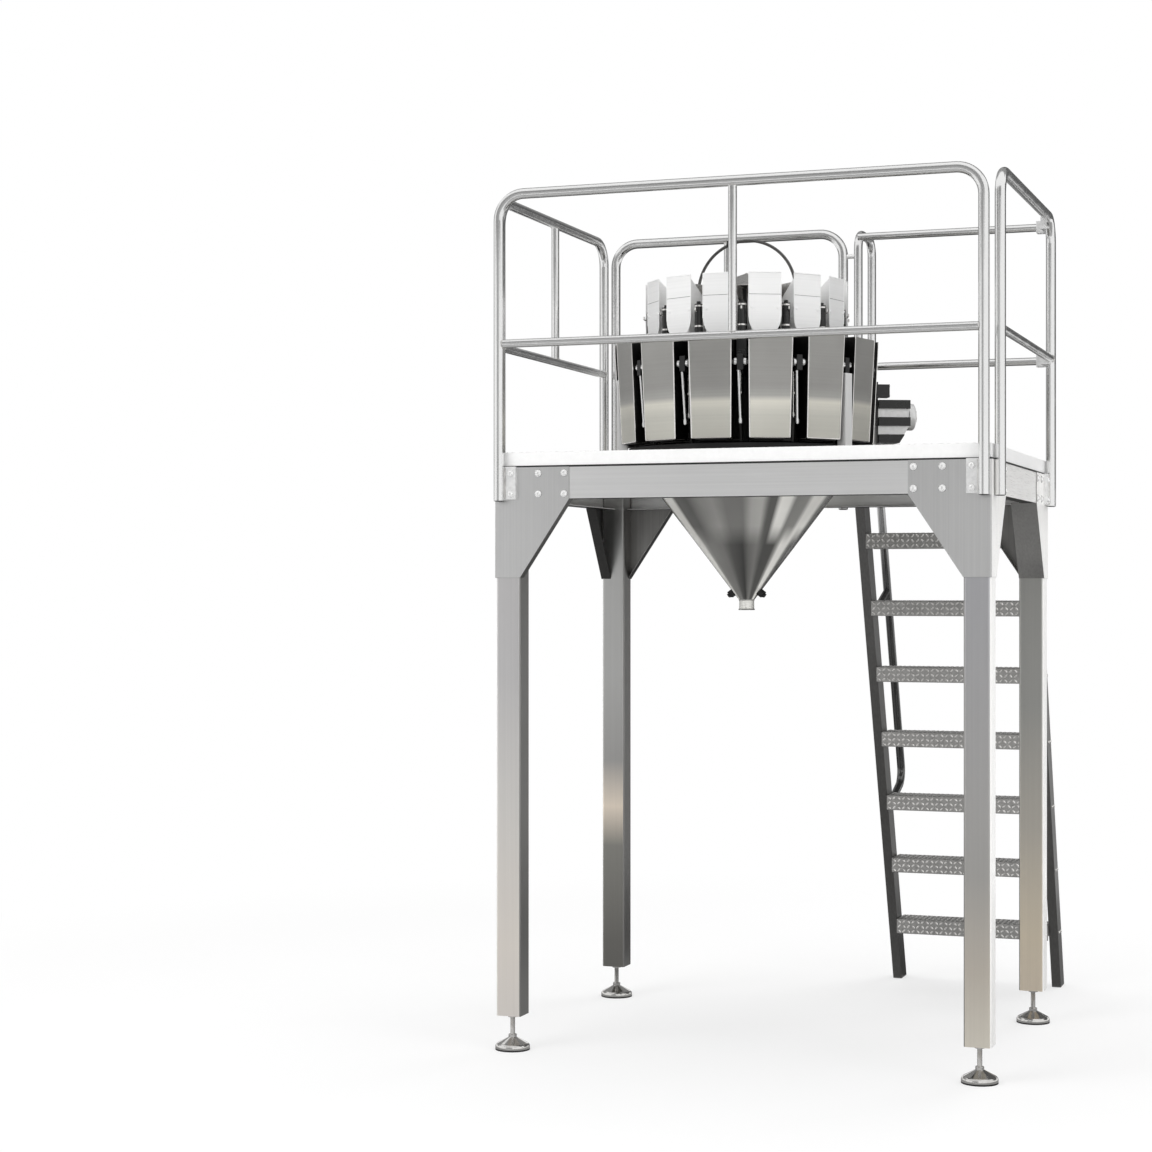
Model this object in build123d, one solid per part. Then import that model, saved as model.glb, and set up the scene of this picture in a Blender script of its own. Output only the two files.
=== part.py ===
from build123d import *
import os
from math import cos, hypot, radians, sin, sqrt, tan

# All sizes are in millimetres. X runs to the right of the front guard, Y to the stair, Z up.
# The drawing origin is on the floor under the middle of the platform.

# Platform frame
PLATFORM_WIDTH = 1900.0
PLATFORM_DEPTH = 1340.0
LEG_SIZE = 100.0
LEG_WALL = 4.0
LEG_CORNER = 10.0
LEG_BOTTOM = 135.0
LEG_CAP = 12.0
BEAM_TOP = 2240.0
BEAM_HEIGHT = 125.0
BEAM_FLANGE = 60.0
BEAM_WALL = 5.0
KNEE_PLATE = 3.0
KNEE_LIP = 40.0
KNEE_REACH = 200.0
KNEE_DROP = 300.0

# Levelling feet
FOOT_RADIUS = 67.0
FOOT_RUBBER = 6.0
FOOT_RIM = 6.0
FOOT_DOME_TOP = 48.0
FOOT_BOSS_RADIUS = 16.0
FOOT_BOSS_TOP = 58.0
FOOT_STEM_RADIUS = 9.0
FOOT_NUT = 34.0
FOOT_NUT_HEIGHT = 10.0

# Deck
DECK_EDGE_HEIGHT = 55.0
DECK_EDGE_WALL = 5.0
DECK_PLATE = 6.0
DECK_SPLIT = 2.0
JOIST_WIDTH = 50.0
JOIST_SIDE_GAP = 30.0
FIT_GAP = 0.3

# Guards
TUBE_RADIUS = 20.0
MID_RADIUS = 16.0
TUBE_BEND = 100.0
RAIL_ABOVE_DECK = 985.0
MID_ABOVE_DECK = 415.0
POST_BELOW_BEAM = 5.0
POST_INSET = 22.0
SIDE_POST_INSET = 55.0
LEFT_GUARD_SHIFT = 50.0
REAR_GUARD_GAP = 65.0
BRACKET_WIDTH = 45.0
BRACKET_PLATE = 14.0

# Stair
STAIR_INSET = 80.0
STAIR_WIDTH = 715.0
STAIR_SLOPE = 70.0
STAIR_RISERS = 8
STRINGER_WIDTH = 40.0
STRINGER_DEPTH = 100.0
STRINGER_TOP_OFFSET = 34.0
TREAD_DEPTH = 150.0
TREAD_LIP = 65.0
TREAD_PLATE = 5.0
HOOP_SPAN = 260.0
HANDRAIL_RADIUS = 18.0
HANDRAIL_STAY = 14.0
HANDRAIL_REACH = 300.0
HANDRAIL_FOOT = 900.0
BAR_CUP = 8.0
CUP_LENGTH = 25.0
TIE_RADIUS = 10.0
HANDRAIL_BEND = 70.0

# Weigher body
HEADS = 14
AXIS_X = -140.0
DRUM_APOTHEM = 250.0
DRUM_HEIGHT = 445.0
DRUM_CLEARANCE = 17.0
LID_RADIUS = 244.0
LID_HEIGHT = 10.0
DRIVE_DEPTH = 40.0
DRIVE_WIDTH = 76.0
DRIVE_HEIGHT = 220.0
DRIVE_ABOVE_ARM = 40.0
DRIVE_CORNER = 10.0
ARM_WIDTH = 24.0
ARM_HEIGHT = 60.0
ARM_END = 515.0
ARM_SINK = 20.0
ARM_BELOW_HOPPER_TOP = 142.0
COLUMN_SIZE = 40.0
COLUMN_RADIUS = 500.0
COLUMN_HEADS = (2, 4, 9, 11)
COLUMN_FOOT = 10.0
COLUMN_FOOT_LENGTH = 86.0
COLUMN_FOOT_WIDTH = 70.0
COLUMN_FOOT_GAP = 3.0

# Weigh hoppers; radii are measured from the weigher's axis
SHEET = 3.0
WEIGH_HEIGHT = 396.0
WEIGH_FRONT_TOP = 520.0
WEIGH_FRONT_BOTTOM = 500.0
WEIGH_BACK_TOP = 310.0
WEIGH_BACK_BOTTOM = 420.0
WEIGH_HALF_TOP = 84.0
WEIGH_HALF_BOTTOM = 77.0
WEIGH_FLARE = 0.152
GATE_SHEET = 4.0
GATE_SHAFT = 6.0
GATE_INSET = 4.0
GATE_CLEARANCE = 6.0
CRANK_X = 100.0
CRANK_WIDTH = 8.0
CRANK_RISE = 84.0
CRANK_PAD = 8.0
ROD_RADIUS = 4.0
ROD_REACH = 445.0
PIN_RADIUS = 9.0
PIN_REACH = 470.0
PIN_ABOVE_ARM_FOOT = 32.0

# Feed hoppers and the cylinders between them
HOPPER_GAP = 9.0
FEED_HEIGHT = 233.0
FEED_BACK_HEIGHT = 139.0
FEED_FRONT = 398.0
FEED_HALF = 50.0
FEED_FRONT_HALF = 63.0
FEED_CORNER_WIDTH = 30.0
FEED_CORNER_HEIGHT = 62.0
ACTUATOR_REACH = 386.0
ACTUATOR_BASE = 38.0
ACTUATOR_BASE_HEIGHT = 80.0
ACTUATOR_RADIUS = 16.0
ACTUATOR_LENGTH = 140.0
ACTUATOR_CAP = 10.0

# Feeders
VIBRATOR_WIDTH = 54.0
VIBRATOR_INNER = 175.0
VIBRATOR_OUTER = 245.0
PAN_CLEARANCE = 15.0
PAN_HEIGHT = 50.0
PAN_INNER = 165.0
PAN_OUTER = 345.0
PAN_INNER_HALF = 30.0
PAN_OUTER_HALF = 42.0
CONE_POST_RADIUS = 75.0
CONE_CLEARANCE = 7.0
TOP_CONE_RADIUS = 185.0
TOP_CONE_TIP = 8.0
TOP_CONE_RIM = 4.0
TOP_CONE_HEIGHT = 68.0
ARCH_RADIUS = 200.0
ARCH_ROD = 6.0
SENSOR_SIDE = -65.0
SENSOR_RADIUS = 12.0
SENSOR_LENGTH = 80.0
SENSOR_CLAMP = 26.0

# Discharge
OUTLET_RADIUS = 30.0
OUTLET_LENGTH = 40.0
OUTLET_BELOW_DECK = 607.0
CHUTE_RADIUS = 460.0
CHUTE_WALL = 3.0
CHUTE_FLANGE = 475.0
CHUTE_FLANGE_HEIGHT = 4.0
CHUTE_HOLE = 466.0
COLLAR_INNER = 464.0
COLLAR_OUTER = 472.0
COLLAR_HEIGHT = 29.0

# Power unit on the right rear column
UNIT_HEAD = 4
UNIT_PLATE = 4.0
UNIT_PLATE_WIDTH = 90.0
UNIT_LENGTH = 128.0
UNIT_WIDTH = 126.0
UNIT_ABOVE_DECK = 60.0
UNIT_HEIGHT = 172.0
UNIT_FINS = 3
UNIT_FIN_DEPTH = 16.0
UNIT_CUT_LENGTH = 45.0
UNIT_CUT_HEIGHT = 70.0
UNIT_END_RADIUS = 54.0
UNIT_END_LENGTH = 28.0
UNIT_END_ROUND = 10.0
JUNCTION_SIZE = 52.0
JUNCTION_ABOVE_UNIT = 13.0

# Derived levels and places
BEAM_BOTTOM = BEAM_TOP - BEAM_HEIGHT
DECK_TOP = BEAM_TOP + DECK_EDGE_HEIGHT
HALF_W = PLATFORM_WIDTH / 2
HALF_D = PLATFORM_DEPTH / 2
RAIL_Z = DECK_TOP + RAIL_ABOVE_DECK
MID_Z = DECK_TOP + MID_ABOVE_DECK
POST_FOOT = BEAM_BOTTOM - POST_BELOW_BEAM
GUARD_OUT = KNEE_PLATE + TUBE_RADIUS
FRONT_POST_X = HALF_W - POST_INSET
SIDE_POST_Y = HALF_D - SIDE_POST_INSET
FEED_BACK = DRUM_APOTHEM + DRIVE_DEPTH
PITCH = 360.0 / HEADS
HALF_PITCH_TAN = tan(radians(PITCH / 2))
RISE = DECK_TOP / STAIR_RISERS
SLOPE_TAN = tan(radians(STAIR_SLOPE))
STAIR_RIGHT = HALF_W - STAIR_INSET
STAIR_LEFT = STAIR_RIGHT - STAIR_WIDTH
REAR_GUARD_END = STAIR_LEFT - REAR_GUARD_GAP
STAIR_Y = HALF_D + STRINGER_TOP_OFFSET
OUTLET_BOTTOM = DECK_TOP - OUTLET_BELOW_DECK
OUTLET_TOP = OUTLET_BOTTOM + OUTLET_LENGTH
FLANGE_TOP = DECK_TOP + CHUTE_FLANGE_HEIGHT
COLLAR_TOP = FLANGE_TOP + COLLAR_HEIGHT
WEIGH_BOTTOM = COLLAR_TOP + GATE_CLEARANCE + 2 * GATE_SHAFT
WEIGH_TOP = WEIGH_BOTTOM + WEIGH_HEIGHT
ARM_BOTTOM = WEIGH_TOP - ARM_BELOW_HOPPER_TOP
ARM_TOP = ARM_BOTTOM + ARM_HEIGHT
PIN_HEIGHT = ARM_BOTTOM + PIN_ABOVE_ARM_FOOT
ROD_BOTTOM = WEIGH_BOTTOM + CRANK_RISE
DRUM_BOTTOM = COLLAR_TOP + DRUM_CLEARANCE
DRUM_TOP = DRUM_BOTTOM + DRUM_HEIGHT
LID_TOP = DRUM_TOP + LID_HEIGHT
DRIVE_BOTTOM = ARM_BOTTOM + DRIVE_ABOVE_ARM
DRIVE_TOP = DRIVE_BOTTOM + DRIVE_HEIGHT
FEED_BOTTOM = WEIGH_TOP + HOPPER_GAP
FEED_TOP = FEED_BOTTOM + FEED_HEIGHT
FEED_BACK_TOP = FEED_BOTTOM + FEED_BACK_HEIGHT
PAN_BOTTOM = FEED_BACK_TOP + PAN_CLEARANCE
TOP_CONE_BASE = PAN_BOTTOM + PAN_HEIGHT + CONE_CLEARANCE
ARCH_CENTRE = TOP_CONE_BASE
UNIT_BOTTOM = DECK_TOP + UNIT_ABOVE_DECK
UNIT_TOP = UNIT_BOTTOM + UNIT_HEIGHT
JUNCTION_BOTTOM = UNIT_TOP + JUNCTION_ABOVE_UNIT


def block(x0, x1, y0, y1, z0, z1):
    """Box between two opposite corners."""
    centre = Pos((x0 + x1) / 2, (y0 + y1) / 2, (z0 + z1) / 2)
    return centre * Box(x1 - x0, y1 - y0, z1 - z0)


def rod(start, end, radius):
    """Straight round bar between two points."""
    span = Vector(*end) - Vector(*start)
    return Solid.make_cylinder(radius, span.length, Plane(origin=start, z_dir=span))


def bent_tube(points, bend, radius):
    """Round tube that follows corner points with bends of one radius."""
    path = FilletPolyline(*points, radius=bend)
    return sweep(Plane(origin=path @ 0, z_dir=path % 0) * Circle(radius), path=path)


def flat_sided(bottom, top):
    """Solid with flat sides between two four-cornered outlines."""
    faces = [Face(Wire.make_polygon(bottom)), Face(Wire.make_polygon(top))]
    for i in range(4):
        j = (i + 1) % 4
        faces.append(Face(Wire.make_polygon([bottom[i], bottom[j], top[j], top[i]])))
    return Solid(Shell(faces))


def upright(points, plane, depth):
    """Outline on an upright plane, made solid along the plane's normal."""
    return extrude(plane * make_face(Polyline(*points, close=True)), depth)


def round_heads(piece, offset=0.0, places=range(HEADS)):
    """Copies of one piece around the weigher's axis, at heads or at the gaps between them."""
    return [Pos(AXIS_X, 0, 0) * Rot(0, 0, (k + offset) * PITCH) * piece for k in places]


def stair_line(z):
    """Y of the middle of the stringers at a height."""
    return STAIR_Y + (DECK_TOP - z) / SLOPE_TAN


# Platform

def leg(side, end):
    """Square tube leg with a closed foot."""
    height = BEAM_TOP - LEG_BOTTOM
    outer = extrude(RectangleRounded(LEG_SIZE, LEG_SIZE, LEG_CORNER), height)
    bore = LEG_SIZE - 2 * LEG_WALL
    inner = extrude(RectangleRounded(bore, bore, LEG_CORNER - LEG_WALL), height)
    tube = outer - Pos(0, 0, LEG_CAP) * inner
    x = side * (HALF_W - LEG_SIZE / 2)
    y = end * (HALF_D - LEG_SIZE / 2)
    return Pos(x, y, LEG_BOTTOM) * tube


def levelling_foot():
    """Bell-shaped foot with its boss, stem and lock nut, standing on the rubber."""
    rim = FOOT_RUBBER + FOOT_RIM
    rise = FOOT_DOME_TOP - rim
    side = [(0, FOOT_BOSS_TOP), (0, FOOT_RUBBER), (FOOT_RADIUS, FOOT_RUBBER), (FOOT_RADIUS, rim)]
    bulge = (FOOT_RADIUS * 0.95, rim + rise * 0.26)
    shoulder = (FOOT_RADIUS * 0.84, rim + rise * 0.40)
    round_edge = ThreePointArc(side[-1], bulge, shoulder)
    boss = [(FOOT_BOSS_RADIUS, FOOT_DOME_TOP), (FOOT_BOSS_RADIUS, FOOT_BOSS_TOP), (0, FOOT_BOSS_TOP)]
    outline = Polyline(*side) + round_edge + Polyline(shoulder, *boss)
    pad = revolve(Plane.XZ * make_face(outline), Axis.Z)
    stem = rod((0, 0, FOOT_BOSS_TOP), (0, 0, LEG_BOTTOM), FOOT_STEM_RADIUS)
    nut = extrude(RegularPolygon(FOOT_NUT / 2, 6, major_radius=False), FOOT_NUT_HEIGHT)
    return pad + stem + Pos(0, 0, LEG_BOTTOM - FOOT_NUT_HEIGHT) * nut


def foot_places():
    x = HALF_W - LEG_SIZE / 2
    y = HALF_D - LEG_SIZE / 2
    return [Pos(sx * x, sy * y, 0) for sx in (-1, 1) for sy in (-1, 1)]


def beam(length):
    """Folded channel along X, web on its -Y face, open to +Y."""
    half, t = length / 2, BEAM_WALL
    body = block(-half, half, 0, BEAM_FLANGE, BEAM_BOTTOM, BEAM_TOP)
    return body - block(-half, half, t, BEAM_FLANGE, BEAM_BOTTOM + t, BEAM_TOP - t)


def knee(lip):
    """Corner plate over leg and beam along X, its slope folded inward by a lip; the corner is at the origin."""
    plane = Plane(origin=(0, 0, 0), x_dir=(1, 0, 0), z_dir=(0, -1, 0))
    seat = BEAM_BOTTOM - KNEE_DROP
    tip = LEG_SIZE + KNEE_REACH
    face = [(0, BEAM_TOP), (0, seat), (LEG_SIZE, seat), (tip, BEAM_BOTTOM), (tip, BEAM_TOP)]
    slope = hypot(KNEE_REACH, KNEE_DROP)
    rise = KNEE_PLATE * slope / KNEE_REACH
    run = KNEE_PLATE * slope / KNEE_DROP
    fold = [(LEG_SIZE, seat), (tip, BEAM_BOTTOM), (tip - run, BEAM_BOTTOM), (LEG_SIZE, seat + rise)]
    return upright(face, plane, KNEE_PLATE) + upright(fold, plane, -lip)


def corner_knees(side, end):
    """The two knees of one corner; those on the right side are closed over the whole leg."""
    along = knee(KNEE_LIP)
    across = mirror(knee(LEG_SIZE if side > 0 else KNEE_LIP), Plane(origin=(0, 0, 0), z_dir=(1, -1, 0)))
    pair = [Pos(-HALF_W, -HALF_D, 0) * piece for piece in (along, across)]
    if side > 0:
        pair = [mirror(piece, Plane.YZ) for piece in pair]
    if end > 0:
        pair = [mirror(piece, Plane.XZ) for piece in pair]
    return pair


def deck_joists():
    """Bearers under the deck: across the platform, and two trimmers beside the chute opening."""
    top = DECK_TOP - DECK_PLATE
    hole = CHUTE_HOLE + JOIST_SIDE_GAP
    end = HALF_W - DECK_EDGE_WALL - FIT_GAP - JOIST_WIDTH / 2
    right = AXIS_X + hole + JOIST_WIDTH / 2
    left = AXIS_X - hole - JOIST_WIDTH / 2
    reach = HALF_D - DECK_EDGE_WALL - FIT_GAP
    half = JOIST_WIDTH / 2
    places = [-end, left, right, (right + end) / 2, end]
    bearers = [block(x - half, x + half, -reach, reach, BEAM_TOP, top) for x in places]
    inner = (left + half + FIT_GAP, right - half - FIT_GAP)
    for side in (-1, 1):
        y = side * (hole + half)
        bearers.append(block(inner[0], inner[1], y - half, y + half, BEAM_TOP, top))
    return bearers


def deck_panels():
    """Two deck plates that meet across the chute opening."""
    x = HALF_W - DECK_EDGE_WALL - FIT_GAP
    y = HALF_D - DECK_EDGE_WALL - FIT_GAP
    hole = rod((AXIS_X, 0, BEAM_TOP), (AXIS_X, 0, FLANGE_TOP), CHUTE_HOLE)
    spans = [(-x, AXIS_X - DECK_SPLIT / 2), (AXIS_X + DECK_SPLIT / 2, x)]
    return [block(x0, x1, -y, y, DECK_TOP - DECK_PLATE, DECK_TOP) - hole for x0, x1 in spans]


def deck_edges():
    """Upright strips that close the rim of the deck."""
    x, y, t = HALF_W, HALF_D, DECK_EDGE_WALL
    inner = y - t - FIT_GAP
    front = block(-x, x, -y, t - y, BEAM_TOP, DECK_TOP)
    left = block(-x, t - x, -inner, inner, BEAM_TOP, DECK_TOP)
    return [front, mirror(front, Plane.XZ), left, mirror(left, Plane.YZ)]


# Guards

def guard(place, x0, x1, middle):
    """Bent loop with a middle rail, and a short post between the rails where there is one."""
    corners = [(x0, 0, POST_FOOT), (x0, 0, RAIL_Z), (x1, 0, RAIL_Z), (x1, 0, POST_FOOT)]
    loop = bent_tube(corners, TUBE_BEND, TUBE_RADIUS)
    panel = loop + rod((x0, 0, MID_Z), (x1, 0, MID_Z), MID_RADIUS)
    if middle:
        x = (x0 + x1) / 2
        panel = panel + rod((x, 0, MID_Z), (x, 0, RAIL_Z), MID_RADIUS)
    return place * panel


def left_guard():
    """Left guard, set back along its side."""
    return guard(LEFT * OUTWARD, -SIDE_POST_Y - LEFT_GUARD_SHIFT, SIDE_POST_Y - LEFT_GUARD_SHIFT, True)


def right_guard():
    return guard(RIGHT * OUTWARD, -SIDE_POST_Y, SIDE_POST_Y, False)


def guard_bracket(x, side, gap):
    """Plate beside a guard post, hollowed where the post lies against it; the beam face is at y = 0."""
    x0, x1 = sorted((x, x + side * (TUBE_RADIUS + BRACKET_WIDTH)))
    plate = block(x0, x1, -gap - BRACKET_PLATE, -gap, BEAM_BOTTOM, BEAM_TOP)
    post = rod((x, -GUARD_OUT, POST_FOOT), (x, -GUARD_OUT, RAIL_Z), TUBE_RADIUS)
    return (plate - post).solids().sort_by(SortBy.VOLUME)[-1]


FRONT = Pos(0, -HALF_D, 0)
REAR = Pos(0, HALF_D, 0) * Rot(0, 0, 180)
LEFT = Pos(-HALF_W, 0, 0) * Rot(0, 0, -90)
RIGHT = Pos(HALF_W, 0, 0) * Rot(0, 0, 90)
OUTWARD = Pos(0, -GUARD_OUT, 0)


def guard_brackets():
    """One bracket for each post foot."""
    pieces = [FRONT * guard_bracket(s * FRONT_POST_X, -s, KNEE_PLATE) for s in (-1, 1)]
    for face, shift in ((LEFT, LEFT_GUARD_SHIFT), (RIGHT, 0)):
        pieces += [face * guard_bracket(s * SIDE_POST_Y - shift, -s, KNEE_PLATE) for s in (-1, 1)]
    pieces.append(REAR * guard_bracket(FRONT_POST_X, -1, KNEE_PLATE))
    pieces.append(REAR * guard_bracket(-REAR_GUARD_END, 1, 0))
    return pieces


def bar_place():
    """Y of the stair head bars, on the line of the rear guard."""
    return HALF_D + GUARD_OUT


def stair_head_bars():
    """Loose top and middle bars across the head of the stair, from the hoop to the right guard."""
    end = HALF_W - TUBE_RADIUS
    y = bar_place()
    hoop = stair_handrail()
    bars = []
    for z in (RAIL_Z - TUBE_RADIUS, MID_Z):
        bar = rod((STAIR_LEFT, y, z), (end, y, z), MID_RADIUS) - hoop
        bars.append(bar.solids().sort_by(SortBy.VOLUME)[-1])
    return bars


def bar_cups():
    """Cups on the right guard that hold the ends of the bars."""
    post_x = HALF_W + GUARD_OUT
    y = bar_place()
    end = HALF_W - TUBE_RADIUS
    outer = MID_RADIUS + BAR_CUP
    cups = []
    for bar in stair_head_bars():
        z = bar.bounding_box().center().Z
        cup = block(end - CUP_LENGTH, post_x, y - outer, y + outer, z - outer, z + outer)
        arm = block(end + BAR_CUP, post_x, SIDE_POST_Y - TUBE_BEND / 2, y - outer, z - outer, z + outer)
        cup = (cup + arm) - bar - right_guard()
        cups.append(cup.solids().sort_by(SortBy.VOLUME)[-1])
    return cups


def hoop_ties():
    """Short bars that tie the hoop at the stair head to the end of the rear guard."""
    y = bar_place()
    ties = []
    for z in (RAIL_Z - TUBE_BEND, MID_Z):
        bar = rod((REAR_GUARD_END, y, z), (STAIR_LEFT, y, z), TIE_RADIUS)
        post = rod((REAR_GUARD_END, y, POST_FOOT), (REAR_GUARD_END, y, RAIL_Z), TUBE_RADIUS)
        hoop = rod((STAIR_LEFT, y, BEAM_TOP), (STAIR_LEFT, y, RAIL_Z), HANDRAIL_RADIUS)
        ties.append(bar - post - hoop)
    return ties


# Stair

def stringer(x, face_y):
    """Sloping side of the stair, cut level at the floor and upright against the beam."""
    half = STRINGER_DEPTH / 2 / sin(radians(STAIR_SLOPE))
    low, high = 0.0, BEAM_TOP
    band = [(stair_line(low) - half, low), (stair_line(low) + half, low),
            (stair_line(high) + half, high), (stair_line(high) - half, high)]
    plane = Plane(origin=(x - STRINGER_WIDTH / 2, 0, 0), x_dir=(0, 1, 0), z_dir=(1, 0, 0))
    side = upright(band, plane, STRINGER_WIDTH)
    return side - block(x - STRINGER_WIDTH, x + STRINGER_WIDTH, 0, face_y, 0, DECK_TOP)


def treads():
    """Folded steps between the stringers."""
    x0 = STAIR_LEFT + STRINGER_WIDTH / 2
    x1 = STAIR_RIGHT - STRINGER_WIDTH / 2
    steps = []
    for k in range(1, STAIR_RISERS):
        top = DECK_TOP - k * RISE
        y = stair_line(top - TREAD_LIP / 2)
        step = block(x0, x1, y - TREAD_DEPTH / 2, y + TREAD_DEPTH / 2, top - TREAD_LIP, top)
        hollow = block(x0, x1, y - TREAD_DEPTH / 2 + TREAD_PLATE, y + TREAD_DEPTH / 2 - TREAD_PLATE,
                       top - TREAD_LIP, top - TREAD_PLATE)
        steps.append(step - hollow)
    return steps


def stair_handrail():
    """Hoop at the head of the stair that runs down as its left handrail."""
    x = STAIR_LEFT
    near = HALF_D + GUARD_OUT
    far = near + HOOP_SPAN
    edge = STRINGER_DEPTH / 2
    c, s = cos(radians(STAIR_SLOPE)), sin(radians(STAIR_SLOPE))
    offset = (edge + HANDRAIL_REACH) / s
    turn_z = DECK_TOP - (far - STAIR_Y - offset) * SLOPE_TAN
    foot_y = stair_line(HANDRAIL_FOOT) + offset
    end_y = foot_y - s * HANDRAIL_REACH
    end_z = HANDRAIL_FOOT - c * HANDRAIL_REACH
    top = RAIL_Z - (TUBE_RADIUS - HANDRAIL_RADIUS)
    points = [(x, near, BEAM_TOP), (x, near, top), (x, far, top), (x, far, turn_z),
              (x, foot_y, HANDRAIL_FOOT), (x, end_y, end_z)]
    rail = bent_tube(points, HANDRAIL_BEND, HANDRAIL_RADIUS)
    mid_z = (turn_z + HANDRAIL_FOOT) / 2
    mid_y = stair_line(mid_z) + offset
    foot = (x, mid_y - s * HANDRAIL_REACH, mid_z - c * HANDRAIL_REACH)
    return rail + rod((x, mid_y, mid_z), foot, HANDRAIL_STAY)


# Weigher body

def drum_shape():
    flats = RegularPolygon(DRUM_APOTHEM, HEADS, major_radius=False)
    return extrude(Pos(0, 0, DRUM_BOTTOM) * flats, DRUM_HEIGHT)


def drum():
    """Housing with one flat for each head, under a round lid."""
    lid = rod((0, 0, DRUM_TOP), (0, 0, LID_TOP), LID_RADIUS)
    return Pos(AXIS_X, 0, 0) * (drum_shape() + lid)


def arm():
    """Radial carrier between two hoppers."""
    bar = block(-ARM_WIDTH / 2, ARM_WIDTH / 2, -ARM_END, ARM_SINK - DRUM_APOTHEM, ARM_BOTTOM, ARM_TOP)
    return bar - Rot(0, 0, PITCH / 2) * drum_shape()


def column():
    """Post on the deck under the end of an arm."""
    half = COLUMN_SIZE / 2
    post = block(-half, half, -COLUMN_RADIUS - half, -COLUMN_RADIUS + half, DECK_TOP, ARM_BOTTOM)
    inner = CHUTE_FLANGE + COLUMN_FOOT_GAP
    foot = block(-COLUMN_FOOT_WIDTH / 2, COLUMN_FOOT_WIDTH / 2, -inner - COLUMN_FOOT_LENGTH, -inner,
                 DECK_TOP, DECK_TOP + COLUMN_FOOT)
    return post + foot


def drive_unit():
    """Gate drive on one flat of the drum."""
    case = block(-DRIVE_WIDTH / 2, DRIVE_WIDTH / 2, -FEED_BACK, -DRUM_APOTHEM, DRIVE_BOTTOM, DRIVE_TOP)
    outer = case.edges().filter_by(Axis.Z).sort_by(Axis.Y)[:2]
    return fillet(outer, DRIVE_CORNER)


# Hoppers

def weigh_outline(z, inset):
    """Four corners of the weigh hopper at a height: front left, front right, back right, back left."""
    share = (z - WEIGH_BOTTOM) / (WEIGH_TOP - WEIGH_BOTTOM)
    front = WEIGH_FRONT_BOTTOM + share * (WEIGH_FRONT_TOP - WEIGH_FRONT_BOTTOM)
    back = WEIGH_BACK_BOTTOM + share * (WEIGH_BACK_TOP - WEIGH_BACK_BOTTOM)
    half = WEIGH_HALF_BOTTOM + share * (WEIGH_HALF_TOP - WEIGH_HALF_BOTTOM)
    near, far = front - inset, back + inset
    near_half = half - WEIGH_FLARE * inset - inset
    far_half = half - WEIGH_FLARE * (front - far) - inset
    return [(-near_half, -near, z), (near_half, -near, z), (far_half, -far, z), (-far_half, -far, z)]


def weigh_half(reach, z):
    """Half width of the weigh hopper at a radius and height."""
    share = (z - WEIGH_BOTTOM) / (WEIGH_TOP - WEIGH_BOTTOM)
    front = WEIGH_FRONT_BOTTOM + share * (WEIGH_FRONT_TOP - WEIGH_FRONT_BOTTOM)
    half = WEIGH_HALF_BOTTOM + share * (WEIGH_HALF_TOP - WEIGH_HALF_BOTTOM)
    return half - WEIGH_FLARE * (front - reach)


def weigh_plates():
    """Mitred front, right, back and left plates of a weigh hopper."""
    plates = []
    out_low, out_high = weigh_outline(WEIGH_BOTTOM, 0), weigh_outline(WEIGH_TOP, 0)
    in_low, in_high = weigh_outline(WEIGH_BOTTOM, SHEET), weigh_outline(WEIGH_TOP, SHEET)
    for i in range(4):
        j = (i + 1) % 4
        plates.append(flat_sided([out_low[i], out_low[j], in_low[j], in_low[i]],
                                 [out_high[i], out_high[j], in_high[j], in_high[i]]))
    return plates


def weigh_gate():
    """Bottom flap with its shaft and the crank at one end."""
    z = WEIGH_BOTTOM - GATE_SHAFT
    back = WEIGH_BACK_BOTTOM + GATE_SHAFT
    half = weigh_half(back, WEIGH_BOTTOM)
    shaft = rod((-half, -back, z), (CRANK_X + CRANK_WIDTH / 2, -back, z), GATE_SHAFT)
    flap_half, flap_front = half - GATE_INSET, WEIGH_FRONT_BOTTOM - GATE_INSET
    flap = block(-flap_half, flap_half, -flap_front, -back, z, z + GATE_SHEET)
    plane = Plane(origin=(CRANK_X - CRANK_WIDTH / 2, 0, 0), x_dir=(0, -1, 0), z_dir=(-1, 0, 0))
    crank = [(back - CRANK_PAD / 2, z - GATE_SHAFT), (back + CRANK_PAD, z - GATE_SHAFT),
             (ROD_REACH + CRANK_PAD, ROD_BOTTOM), (ROD_REACH - CRANK_PAD / 2, ROD_BOTTOM)]
    return shaft + flap + upright(crank, plane, -CRANK_WIDTH)


def gate_rod():
    """Thin rod from the arm down to the crank."""
    return rod((CRANK_X, -ROD_REACH, ROD_BOTTOM), (CRANK_X, -ROD_REACH, ARM_BOTTOM), ROD_RADIUS)


def hanger_pins():
    """Pins that hang a weigh hopper between its two arms, cut to the slope of both."""
    wall = PIN_REACH * HALF_PITCH_TAN
    hopper = flat_sided(weigh_outline(WEIGH_BOTTOM, 0), weigh_outline(WEIGH_TOP, 0))
    pins = []
    for side in (-1, 1):
        pin = rod((0, -PIN_REACH, PIN_HEIGHT), (side * wall, -PIN_REACH, PIN_HEIGHT), PIN_RADIUS)
        pin = pin - hopper - Rot(0, 0, side * PITCH / 2) * arm()
        pins.append(pin.solids().sort_by(SortBy.VOLUME)[-1])
    return pins


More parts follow.
